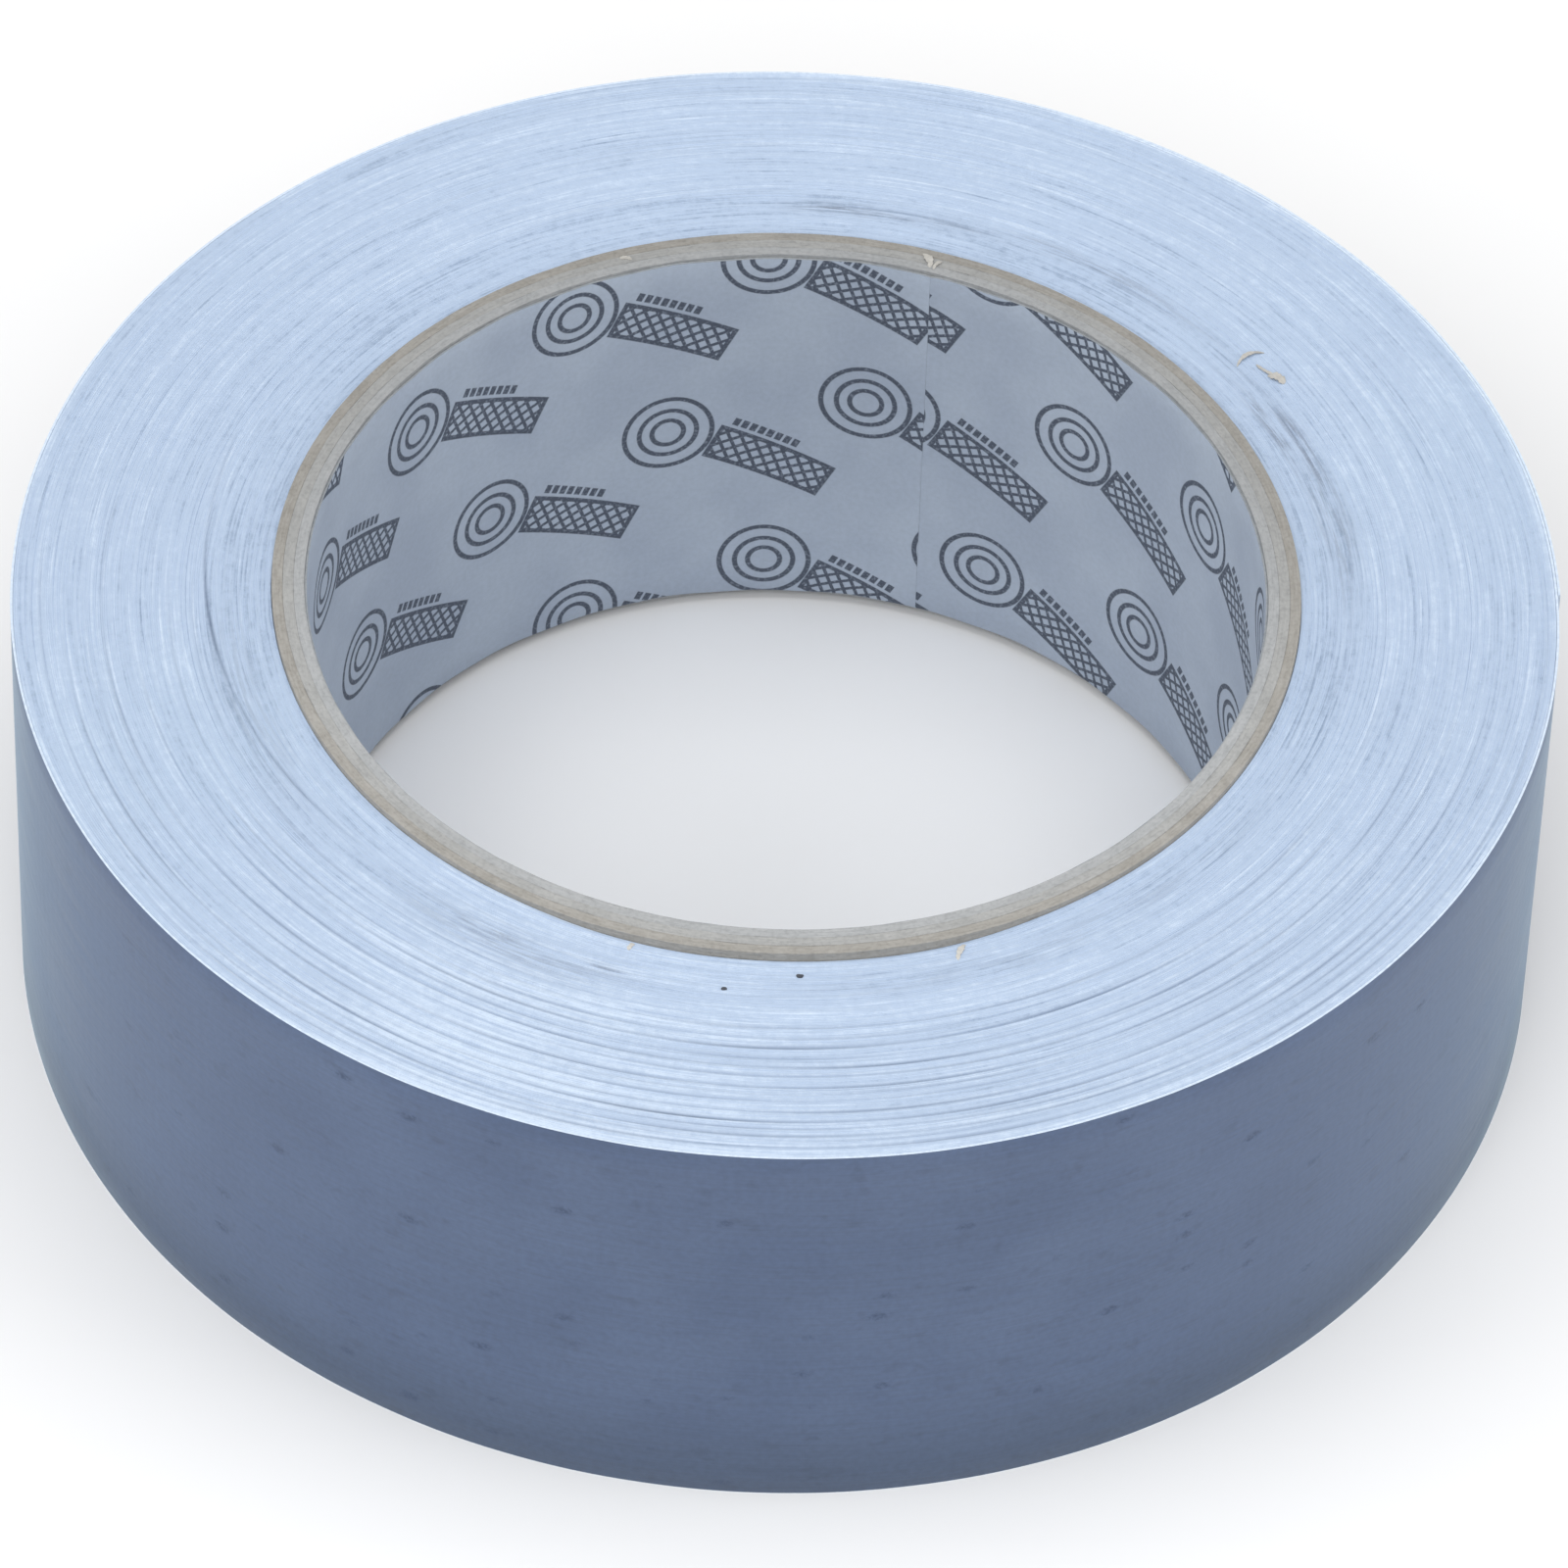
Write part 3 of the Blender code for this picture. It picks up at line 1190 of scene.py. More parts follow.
    def ruling(self, recipe: Recipe, place: Socket, pitch: float, share: float) -> Socket:
        """Parallel lines of ink.

        Args:
            recipe: The recipe in the making.
            place: The coordinate that the lines lie across.
            pitch: The distance from line to line.
            share: The share of the pitch that a line takes.

        Returns:
            1 on a line and 0 between the lines.
        """
        cell = recipe.math("FRACT", recipe.math("ADD", recipe.math("DIVIDE", place, pitch), 100.0))
        off_middle = recipe.math("ABSOLUTE", recipe.math("SUBTRACT", cell, 0.5))
        return recipe.span(off_middle, share / 2 - 0.05, share / 2 + 0.05, 1.0, 0.0)


@dataclass(frozen=True)
class ThreadFinish:
    """Off-white cotton."""

    base: Colour = (0.52, 0.52, 0.50)
    pale: Colour = (0.70, 0.70, 0.67)
    fluff: float = 0.12 * MM
    relief: float = 0.02 * MM

    def material(self) -> bpy.types.Material:
        """Makes the finish.

        Returns:
            The material.
        """
        recipe = Recipe("thread", roughness=0.85, specular=0.2)
        fluff = recipe.noise(recipe.places(), self.fluff)
        recipe.colour(recipe.blend(recipe.span(fluff, 0.3, 0.7), self.base, self.pale))
        recipe.bump(fluff, self.relief)
        return recipe.material


@dataclass(frozen=True)
class PaintedFinish:
    """A plain pale surface with a faint unevenness, for the table under the roll."""

    base: Colour = (0.90, 0.90, 0.90)
    pale: Colour = (0.93, 0.93, 0.93)
    cloud: float = 1 / 6

    def material(self) -> bpy.types.Material:
        """Makes the finish.

        Returns:
            The material.
        """
        recipe = Recipe("table_top", roughness=0.7, specular=0.2)
        cloud = recipe.noise(recipe.places(), self.cloud)
        recipe.colour(recipe.blend(recipe.span(cloud, 0.3, 0.7), self.base, self.pale))
        return recipe.material


def dress(piece: bpy.types.Object, slot: Slot, *materials: bpy.types.Material) -> None:
    """Gives a piece its materials.

    Args:
        piece: The piece.
        slot: The slot. It is not used.
        materials: The materials, in the order of the piece's face numbers.
    """
    for material in materials:
        piece.data.materials.append(material)


# ---------------------------------------------------------------- the core


@dataclass
class Core:
    """The paperboard tube: a printed liner in the bore and three boards round it."""

    sizes: RollSizes
    seam_angle: float = math.radians(73.4)
    seam_gap: float = 0.012 * MM
    liner_thickness: float = 0.18 * MM
    liner_drop: float = 0.30 * MM
    ply_gap: float = 0.008 * MM
    tape_gap: float = 0.02 * MM
    steps: int = 360
    liner_rows: int = 16
    liner_corner: float = 0.04 * MM
    liner_wave: float = 0.03 * MM
    liner_waves: tuple[int, int] = (5, 3)
    liner_twist: float = 7 * MM
    edge_wave: float = 0.12 * MM
    edge_waves: tuple[int, int] = (9, 23)
    edge_from: float = 0.45
    edge_reach: float = 2 * MM
    seam_reach: float = 1.6 * MM
    seam_lift: float = 0.03 * MM
    seam_lift_at_top: float = 0.10 * MM
    end_rows: int = 7
    end_reach: tuple[float, float] = (0.4 * MM, 0.2 * MM)
    corner: float = 0.02 * MM
    fuzz: float = 0.03 * MM
    fuzz_size: float = 0.12 * MM
    fuzz_rows: int = 97
    fuzz_grain: float = 0.45
    fuzz_drift: float = 0.35
    fuzz_waves: tuple[int, int] = (7, 17)
    first_seed: int = 100
    print_drift: tuple[float, float] = (2.74 * MM, -4.4 * MM)
    drift_from: float = 75 * MM
    drift_to: float = 165 * MM

    def build(self) -> list[bpy.types.Object]:
        """The liner and the boards, set on the roll."""
        return [self.liner(), *self.boards()]

    def liner(self) -> bpy.types.Object:
        """A printed sheet, laid flat first and then rolled into the bore until its edges meet.

        Returns:
            The sheet.
        """
        sizes = self.sizes
        length = FULL_TURN * sizes.bore_radius
        sheet = flat_strip(
            "liner_sheet",
            start=self.seam_gap / 2,
            end=length - self.seam_gap / 2,
            thickness=self.liner_thickness,
            bottom=sizes.core_bottom + self.liner_drop,
            top=sizes.core_top - self.liner_drop,
            step=length / self.steps,
            rows=self.liner_rows,
            round_edge=self.liner_corner,
        )
        along, depth, height = places_of(sheet).T
        drift = ease(np.clip((along - self.drift_from) / (self.drift_to - self.drift_from), 0, 1))
        drift_along, drift_up = self.print_drift
        write_map(sheet, PRINT_MAP, along + drift_along * drift, height + drift_up * drift)
        angle = self.seam_angle - along / sizes.bore_radius
        radius = sizes.bore_radius + self.liner_thickness / 2 + depth
        fine, broad = self.liner_waves
        radius += self.liner_wave * np.sin(fine * angle + height / self.liner_twist) * np.sin(broad * angle)
        radius -= self.lift(along, length, height)
        near_edge = np.abs(height - sizes.core_middle) - self.edge_from * sizes.core_height
        broad, fine = self.edge_waves
        wave = self.edge_wave * np.sin(broad * angle + 1.0) * np.sin(fine * angle)
        height = height + np.clip(near_edge / self.edge_reach, 0, 1) * wave
        put_places(sheet, np.stack([radius * np.cos(angle), radius * np.sin(angle), height], axis=1))
        smooth(sheet, degrees=35)
        back = BoardFinish("liner_back", (0.30, 0.33, 0.36), (0.40, 0.42, 0.44))
        dress(sheet, Slot.LINER, back.material(), PrintedPaperFinish().material())
        self.turn_print_inwards(sheet)
        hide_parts("core_liner")
        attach(sheet, "roll")
        return sheet

    def lift(self, along: np.ndarray, length: float, height: np.ndarray) -> np.ndarray:
        """How far the sheet stands off the board beside its seam.

        Args:
            along: The place along the sheet.
            length: The sheet's length.
            height: The place's height.

        Returns:
            The distance.
        """
        from_seam = np.minimum(along, length - along)
        reach = np.clip(1 - from_seam / self.seam_reach, 0, 1)
        upward = np.clip((height - self.sizes.core_bottom) / self.sizes.core_height, 0, 1)
        return reach**2 * (self.seam_lift + self.seam_lift_at_top * upward**3)

    def turn_print_inwards(self, sheet: bpy.types.Object) -> None:
        """Puts the print on the side of the sheet that faces the bore, and plain paper on the rest."""
        for polygon in sheet.data.polygons:
            polygon.material_index = 1 if polygon.material_index == Face.INSIDE.value else 0

    def boards(self) -> list[bpy.types.Object]:
        """Three boards, each tight round the one inside it, with rough cut ends.

        Returns:
            The boards, from the inside out.
        """
        grey = BoardFinish("board_grey", (0.350, 0.362, 0.370), (0.440, 0.450, 0.458))
        plain = BoardFinish("board_plain", (0.338, 0.342, 0.338), (0.425, 0.427, 0.421))
        kraft = BoardFinish("board_kraft", (0.300, 0.286, 0.260), (0.402, 0.390, 0.366))
        plies = (
            ("inner", Slot.INNER_BOARD, grey),
            ("middle", Slot.MIDDLE_BOARD, plain),
            ("outer", Slot.OUTER_BOARD, kraft),
        )
        first = self.sizes.bore_radius + self.liner_thickness + self.ply_gap
        last = self.sizes.core_radius - self.tape_gap
        pitch = (last - first + self.ply_gap) / len(plies)
        boards = []
        for place, (place_name, slot, finish) in enumerate(plies):
            inner = first + place * pitch
            board = self.board(f"board_{place_name}", inner, inner + pitch - self.ply_gap, place)
            dress(board, slot, finish.material())
            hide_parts(f"core_board_{place_name}")
            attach(board, "roll")
            boards.append(board)
        return boards

    def board(self, name: str, inner: float, outer: float, seed: int) -> bpy.types.Object:
        """One board, spun from its section, with its cut ends roughened.

        Args:
            name: The piece's name.
            inner: Its smaller radius.
            outer: Its larger radius.
            seed: A number that makes its roughness its own.

        Returns:
            The board.
        """
        board = upright_section(name, inner, outer, self.sizes.core_bottom, self.sizes.core_top)
        bpy.ops.object.mode_set(mode="EDIT")
        bpy.ops.mesh.select_all(action="SELECT")
        bpy.ops.mesh.bevel(offset=self.corner, segments=3, affect="VERTICES")
        bpy.ops.mesh.select_all(action="SELECT")
        bpy.ops.mesh.delete(type="ONLY_FACE")
        flat = (outer - inner) / 2
        part_edges(
            board,
            lambda middle, way: abs(way.x) > 0.99 and abs(middle.x - inner - flat) < flat / 4,
            self.end_rows,
        )
        spin_round(board, self.steps)
        places = places_of(board)
        rough = self.roughness(places, seed)
        above = places[:, 2] - self.sizes.core_middle
        from_end = self.sizes.core_height / 2 - np.abs(above)
        start, end = self.end_reach
        near_end = np.clip((start - from_end) / (start - end), 0, 1)
        places[:, 2] -= np.sign(above) * near_end * rough
        put_places(board, places)
        smooth(board, degrees=50)
        return board

    def roughness(self, places: np.ndarray, seed: int) -> np.ndarray:
        """How far a cut end has crumbled away.

        Args:
            places: The places.
            seed: A number that makes the roughness the board's own.

        Returns:
            The distance at each place, from 0 up to twice the fuzz.
        """
        draw = np.random.default_rng(self.first_seed + seed)
        radius, angle = polar_of(places)
        rows = np.round(radius / self.fuzz_size).astype(int) % self.fuzz_rows
        columns = np.round(angle / FULL_TURN * self.steps).astype(int) % self.steps
        grain = draw.normal(size=(self.fuzz_rows, self.steps))
        grain = (grain + np.roll(grain, 1, axis=1) + np.roll(grain, 2, axis=1)) / math.sqrt(3)
        broad, fine = self.fuzz_waves
        slow = np.sin(broad * angle + seed) * np.sin(fine * angle + 2 * seed)
        uneven = self.fuzz_grain * grain[rows, columns] + self.fuzz_drift * slow
        return self.fuzz * np.clip(1 + uneven, 0, 2)


# ---------------------------------------------------------------- the wound tape


@dataclass(frozen=True)
class Cleft:
    """A turn that sits lower than its neighbours over part of the way round, and whose groove is painted
    dark as shade.

    Its middle and its reach are degrees round the roll. It drifts inwards by so much in a degree.
    """

    inset: float
    strength: float
    middle: float
    reach: float
    drift: float = 0.0


@dataclass(frozen=True)
class Smudge:
    """A patch of dirt on the end face. Its place and reach are a radius and degrees round the roll."""

    radius: float
    width: float
    middle: float
    reach: float
    strength: float


@dataclass(frozen=True)
class PaleStretch:
    """A stretch of the end face that is paler. Its middle and reach are degrees round the roll."""

    middle: float
    reach: float
    lift: float


@dataclass
class TurnWander:
    """Chance differences from turn to turn, which change slowly along each turn."""

    turns: int
    seed: int
    knots: int
    share: float
    breadth: int = 11
    stretch: int = 3
    broad_weight: float = 2.0
    grid: np.ndarray = field(init=False)

    def __post_init__(self) -> None:
        """Draws the differences once: each turn's own, and broad ones that neighbouring turns share."""
        draw = np.random.default_rng(self.seed)
        rows = self.turns + 2
        own = draw.normal(size=(rows, self.knots))
        broad = draw.normal(size=(rows + self.breadth - 1, self.knots // self.stretch))
        window = np.hanning(self.breadth) / np.hanning(self.breadth).sum()
        wide = np.apply_along_axis(lambda column: np.convolve(column, window, "valid"), 0, broad)
        spread = np.repeat(wide * self.broad_weight, self.stretch, axis=1)
        spread = np.pad(spread, ((0, 0), (0, self.knots - spread.shape[1])), mode="wrap")
        rolled = (np.roll(spread, 1, axis=1) + spread + np.roll(spread, -1, axis=1)) / 3
        self.grid = self.share * own + (1 - self.share) * rolled

    def at(self, turn: np.ndarray, angle: np.ndarray) -> np.ndarray:
        """The difference at these turns and directions.

        Args:
            turn: The number of the turn, counted from the core.
            angle: The direction round the roll.

        Returns:
            Numbers spread round 0, about 1 wide.
        """
        row = np.clip(turn.astype(int), 0, self.turns + 1)
        column = (angle / FULL_TURN % 1) * self.knots
        before = column.astype(int) % self.knots
        after = (before + 1) % self.knots
        share = ease(column - column.astype(int))
        return self.grid[row, before] * (1 - share) + self.grid[row, after] * share


def turned_from(angle: np.ndarray, degrees: float) -> np.ndarray:
    """How many degrees directions round the roll are turned from one direction, from -180 to 180."""
    return (np.degrees(angle) - degrees + 180) % 360 - 180


@dataclass
class WoundTurns:
    """The turns of tape on the core, as bands of turns. Each cut edge shows on both end faces."""

    sizes: RollSizes
    core_gap: float = 0.02 * MM
    turns: int = 120
    bands: tuple[str, ...] = ("inner", "middle", "outer")
    steps: int = 288
    under_gap: float = 0.03 * MM
    contact: float = 0.012 * MM
    pressed_turns: int = 6
    groove: float = 0.035 * MM
    sink: float = 0.022 * MM
    sink_mean: float = 1.2
    sink_most: float = 3.2
    cleft_depth: float = 0.18 * MM
    cleft_width: float = 0.13 * MM
    cleft_wander: float = 0.10 * MM
    cleft_breaks: tuple[float, float] = (0.72, 0.28)
    break_waves: int = 13
    break_shift: float = 40 / MM
    tone_spread: float = 0.19
    nudge: float = 0.01
    lint: float = 0.07
    lint_seed: int = 31
    # painted highlight: the outermost turns are painted lighter within this reach of the rim
    rim_highlight_reach: float = 0.9 * MM
    rim_highlight: float = 0.4
    band_gap: float = 0.002 * MM
    rise: float = 0.36 * MM
    rise_reach: float = 2.2 * MM
    level_at: float = 273
    level_reach: tuple[float, float] = (12, 34)
    # The stretch at 247 degrees is painted sheen on the turn edges; the one at 292 degrees is a paler
    # stretch.
    pale: tuple[PaleStretch, ...] = (PaleStretch(247, 18, 0.25), PaleStretch(292, 38, 0.09))
    pale_by_core: float = 0.5
    darkening: float = 0.13
    handled_radius: float = 46.2 * MM
    handled_edge: float = 1.6 * MM
    clean_at: float = 258
    clean_reach: float = 48
    clefts: tuple[Cleft, ...] = (
        Cleft(1.25 * MM, 0.75, 285, 80),
        Cleft(1.90 * MM, 0.45, 255, 50),
        Cleft(2.45 * MM, 0.75, 262, 85),
        Cleft(3.25 * MM, 0.55, 290, 60),
        Cleft(4.05 * MM, 1.00, 262, 75),
        Cleft(5.05 * MM, 0.75, 290, 60),
        Cleft(6.10 * MM, 0.60, 245, 60),
        Cleft(6.75 * MM, 0.45, 290, 45),
        Cleft(7.40 * MM, 0.80, 262, 90),
        Cleft(8.60 * MM, 0.60, 292, 55),
        Cleft(9.60 * MM, 0.80, 272, 80),
        Cleft(10.60 * MM, 0.50, 250, 50),
        Cleft(11.70 * MM, 1.00, 272, 62),
        Cleft(12.60 * MM, 0.55, 240, 60),
        Cleft(13.60 * MM, 0.60, 290, 60),
        Cleft(14.50 * MM, 0.40, 225, 45),
        Cleft(15.95 * MM, 1.00, 192, 32, drift=0.050 * MM),
    )
    smudges: tuple[Smudge, ...] = (
        Smudge(43.7 * MM, 0.50 * MM, 28, 8, 0.90),
        Smudge(45.1 * MM, 0.60 * MM, 23, 10, 0.90),
        Smudge(44.6 * MM, 1.20 * MM, 13, 12, 0.60),
        Smudge(45.7 * MM, 0.60 * MM, 58, 12, 0.65),
        Smudge(44.9 * MM, 0.50 * MM, 78, 8, 0.65),
        Smudge(44.9 * MM, 0.70 * MM, 85.5, 5, 0.95),
        Smudge(44.6 * MM, 1.80 * MM, 200, 14, 0.30),
        Smudge(45.0 * MM, 1.60 * MM, 243, 12, 0.50),
        Smudge(44.4 * MM, 0.25 * MM, 237.7, 1.3, 0.85),
        Smudge(44.3 * MM, 0.25 * MM, 242.4, 1.8, 0.85),
        Smudge(44.3 * MM, 0.25 * MM, 248.4, 1.2, 0.75),
        Smudge(44.2 * MM, 0.22 * MM, 253.3, 1.8, 0.90),
        Smudge(43.6 * MM, 1.40 * MM, 300, 30, 0.25),
    )

    @property
    def inner_radius(self) -> float:
        """The inside of the first turn."""
        return self.sizes.core_radius + self.core_gap

    @property
    def outer_radius(self) -> float:
        """The outside of the turn under the last one, where the last one starts."""
        return self.sizes.roll_radius - 2 * self.sizes.tape_thickness - self.under_gap

    @property
    def pitch(self) -> float:
        """The room that one turn takes."""
        return (self.outer_radius - self.inner_radius) / self.turns

    def build(self, path: StripPath) -> list[bpy.types.Object]:
        """Builds the bands and sets them on the roll.

        Args:
            path: The way that the last turn takes, which the outermost turns lie against.

        Returns:
            The bands.
        """
        tone = TurnWander(self.turns, seed=11, knots=54, share=0.62)
        depth = TurnWander(self.turns, seed=23, knots=42, share=0.55)
        material = TurnEdgeFinish().material()
        pieces = []
        turns = self.turns // len(self.bands)
        for place, name in enumerate(self.bands):
            inner = self.inner_radius + place * turns * self.pitch
            band = self.band(f"turns_{name}", inner, inner + turns * self.pitch - self.band_gap, turns)
            self.relieve(band, tone, depth)
            self.follow(band, path)
            smooth(band, degrees=60)
            dress(band, Slot.TURN_EDGES, material)
            pieces.append(band)
        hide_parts("tape_winding")
        for band in pieces:
            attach(band, "roll")
        return pieces

    def band(self, name: str, inner: float, outer: float, turns: int) -> bpy.types.Object:
        """A ring of turns: each turn's edge is three points wide, and a groove parts it from the next.

        Args:
            name: The piece's name.
            inner: The inside of its first turn.
            outer: The outside of its last turn.
            turns: How many turns it holds.

        Returns:
            The band.
        """
        bottom, top = self.sizes.tape_bottom, self.sizes.tape_top
        band = upright_section(name, inner, outer, bottom, top)
        bpy.ops.object.mode_set(mode="EDIT")
        bpy.ops.mesh.select_all(action="SELECT")
        bpy.ops.mesh.delete(type="ONLY_FACE")
        part_edges(band, lambda middle, way: abs(way.x) > 0.99, 3 * turns)
        third = (outer - inner) / (3 * turns)
        for level, drop in ((top, -self.groove), (bottom, self.groove)):
            select_verts(
                band,
                lambda co: abs(co.z - level) < TOUCHING and round((co.x - inner) / third) % 3 == 0,
            )
            bpy.ops.transform.translate(value=(0, 0, drop))
        spin_round(band, self.steps)
        return band

    def relieve(self, band: bpy.types.Object, tone: TurnWander, depth: TurnWander) -> None:
        """Sinks each turn's edge by its own amount, and notes how light and how dirty it is, with a painted
        highlight on the outermost turns and painted shade in the clefts.

        Args:
            band: The band.
            tone: How the turns differ in tone.
            depth: How they differ in depth.
        """
        places = places_of(band)
        radius, angle = polar_of(places)
        turn = (radius - self.inner_radius) / self.pitch + self.nudge
        clefts = self.cleft_share(radius, angle)
        sunk = self.sink * np.clip(self.sink_mean + depth.at(turn, angle), 0, self.sink_most)
        sunk += self.cleft_depth * clefts
        middle = self.sizes.tape_middle
        places[:, 2] -= np.sign(places[:, 2] - middle) * sunk
        places[:, 2] += np.where(places[:, 2] > middle, self.risen(radius, angle), 0.0)
        put_places(band, places)
        loose = np.random.default_rng(self.lint_seed).normal(size=len(radius)) * self.lint
        # painted highlight: the tone of the outermost turns is raised towards the rim
        painted_rim_highlight = self.rim_highlight * np.clip(1 - (self.sizes.roll_radius - radius) / self.rim_highlight_reach, 0, 1)
        level = 0.5 + self.paleness(radius, angle) + self.tone_spread * tone.at(turn, angle)
        write_attribute(band, TONE, np.clip(level + loose + painted_rim_highlight, 0, 1))
        write_attribute(band, GRIME, np.clip(self.grime(radius, angle), 0, 1))
        # painted shade: how much each place takes of the clefts' shadow colour
        write_attribute(band, CLEFT_SHADE, clefts)

    def paleness(self, radius: np.ndarray, angle: np.ndarray) -> np.ndarray:
        """How much paler each place is than the rest: the pale stretches lift it, one of them as painted
        sheen, and the turns by the core are darker from handling.

        Args:
            radius: The distance from the roll's axis.
            angle: The direction round the roll.

        Returns:
            What to add to the tone, below 0 where it is darker.
        """
        near_core = np.clip(0.5 + (self.handled_radius - radius) / self.handled_edge, 0, 1)
        lift = np.zeros_like(radius)
        for stretch in self.pale:
            lift += stretch.lift * np.exp(-((turned_from(angle, stretch.middle) / stretch.reach) ** 2))
        grubby = 1 - np.exp(-((turned_from(angle, self.clean_at) / self.clean_reach) ** 2))
        lift *= 1 - (1 - self.pale_by_core) * near_core
        return lift - self.darkening * near_core * grubby

    def risen(self, radius: np.ndarray, angle: np.ndarray) -> np.ndarray:
        """How far the first turns climb up the core, except in one direction where they stay level.

        Args:
            radius: The distance from the roll's axis.
            angle: The direction round the roll.

        Returns:
            The height above the rest of the end face.
        """
        close = np.clip(1 - (radius - self.inner_radius) / self.rise_reach, 0, 1)
        start, end = self.level_reach
        aside = np.clip((np.abs(turned_from(angle, self.level_at)) - start) / (end - start), 0, 1)
        return self.rise * close**2 * ease(aside)

    def cleft_share(self, radius: np.ndarray, angle: np.ndarray) -> np.ndarray:
        """How much of a cleft each place is in.

        Args:
            radius: The distance from the roll's axis.
            angle: The direction round the roll.

        Returns:
            The share, from 0 to 1.
        """
        share = np.zeros_like(radius)
        for cleft in self.clefts:
            wander = self.cleft_wander * np.sin(2 * angle + cleft.inset / MM)
            drifted = cleft.drift * turned_from(angle, cleft.middle)
            middle = self.sizes.roll_radius - cleft.inset - drifted + wander
            across = np.exp(-(((radius - middle) / self.cleft_width) ** 2))
            along = np.clip(1 - np.abs(turned_from(angle, cleft.middle)) / cleft.reach, 0, 1)
            steady, breaks = self.cleft_breaks
            broken = steady + breaks * np.sin(self.break_waves * angle + self.break_shift * cleft.inset)
            share = np.maximum(share, cleft.strength * across * np.sqrt(along) * broken)
        return share

    def grime(self, radius: np.ndarray, angle: np.ndarray) -> np.ndarray:
        """How dirty each place is.

        Args:
            radius: The distance from the roll's axis.
            angle: The direction round the roll.

        Returns:
            The dirt, from 0 to 1.
        """
        dirty = np.zeros_like(radius)
        for smudge in self.smudges:
            across = np.exp(-(((radius - smudge.radius) / smudge.width) ** 2))
            along = np.exp(-((turned_from(angle, smudge.middle) / smudge.reach) ** 2))
            dirty = np.maximum(dirty, smudge.strength * across * along)
        return dirty

    def follow(self, band: bpy.types.Object, path: StripPath) -> None:
        """Widens the outermost turns so that they lie against the inside of the last turn all round.

        Args:
            band: The band.
            path: The way that the last turn takes.
        """
        places = places_of(band)
        radius, angle = polar_of(places)
        start = self.outer_radius - self.pressed_turns * self.pitch
        share = np.clip((radius - start) / (self.outer_radius - start), 0, 1)
        wanted = path.inside_radius(angle) - self.contact
        places[:, :2] *= ((radius + share * (wanted - self.outer_radius)) / radius)[:, None]
        put_places(band, places)


# ---------------------------------------------------------------- the last turn and the free end


@dataclass(frozen=True)
class StripPath:
    """The way that the tape takes round the roll.

    Distances along the strip count from the peel line: they grow towards the free end and are
    negative on the last turn behind it. The strip runs clockwise and climbs as it goes.
    """

    sizes: RollSizes
    rest_gap: float = 0.02 * MM
    rest_from: float = 0.97
    edge_draw: float = 0.02 * MM
    edge_waves: tuple[float, float] = (2.3 * MM, 6.1 * MM)
    edge_reach: tuple[float, float] = (0.5 * MM, 0.2 * MM)

    @property
    def tail_length(self) -> float:
        """The length of the free end."""
        return len(self.sizes.folds) * self.sizes.fold_spacing - self.sizes.end_clearance

    def climb(self, behind: np.ndarray) -> np.ndarray:
        """How much lower the strip lies behind the peel line, until it runs under the free end.

        Args:
            behind: The angle behind the peel line.

        Returns:
            The difference in radius.
        """
        thickness = self.sizes.tape_thickness
        under_tail = FULL_TURN - self.tail_length / self.sizes.fold_radius
        share = np.clip(behind / under_tail, 0, 1)
        under = np.clip((share - self.rest_from) / (1 - self.rest_from), 0, 1)
        return thickness * share + self.rest_gap * under

    def inside_radius(self, angle: np.ndarray) -> np.ndarray:
        """The radius of the last turn's inside, in each direction round the roll."""
        behind = (angle - self.sizes.peel_angle) % FULL_TURN
        return self.sizes.fold_radius - self.climb(behind) - self.sizes.tape_thickness / 2

    def wind(self, flat: np.ndarray) -> np.ndarray:
        """Winds places of the flat strip round the roll.

        Args:
            flat: Places along, through and across the flat strip.

        Returns:
            The same places on the roll.
        """
        along, depth, height = flat.T
        angle = self.sizes.peel_angle - along / self.sizes.fold_radius
        behind = np.clip(-along, 0, None) / self.sizes.fold_radius
        radius = self.sizes.fold_radius - self.climb(behind) + depth
        above = height - self.sizes.tape_middle
        from_edge = self.sizes.tape_width / 2 - np.abs(above)
        start, end = self.edge_reach
        to_edge = np.clip((start - from_edge) / (start - end), 0, 1)
        short, long = self.edge_waves
        drawn_in = self.edge_draw * (1 + np.sin(along / short) * np.sin(along / long + 1.0))
        height = height - np.sign(above) * to_edge * drawn_in
        return np.stack([radius * np.cos(angle), radius * np.sin(angle), height], axis=1)

    def point(self, along: float) -> Vector:
        """The middle of the strip at a distance along it."""
        return Vector(self.wind(np.array([[along, 0.0, self.sizes.tape_middle]]))[0])


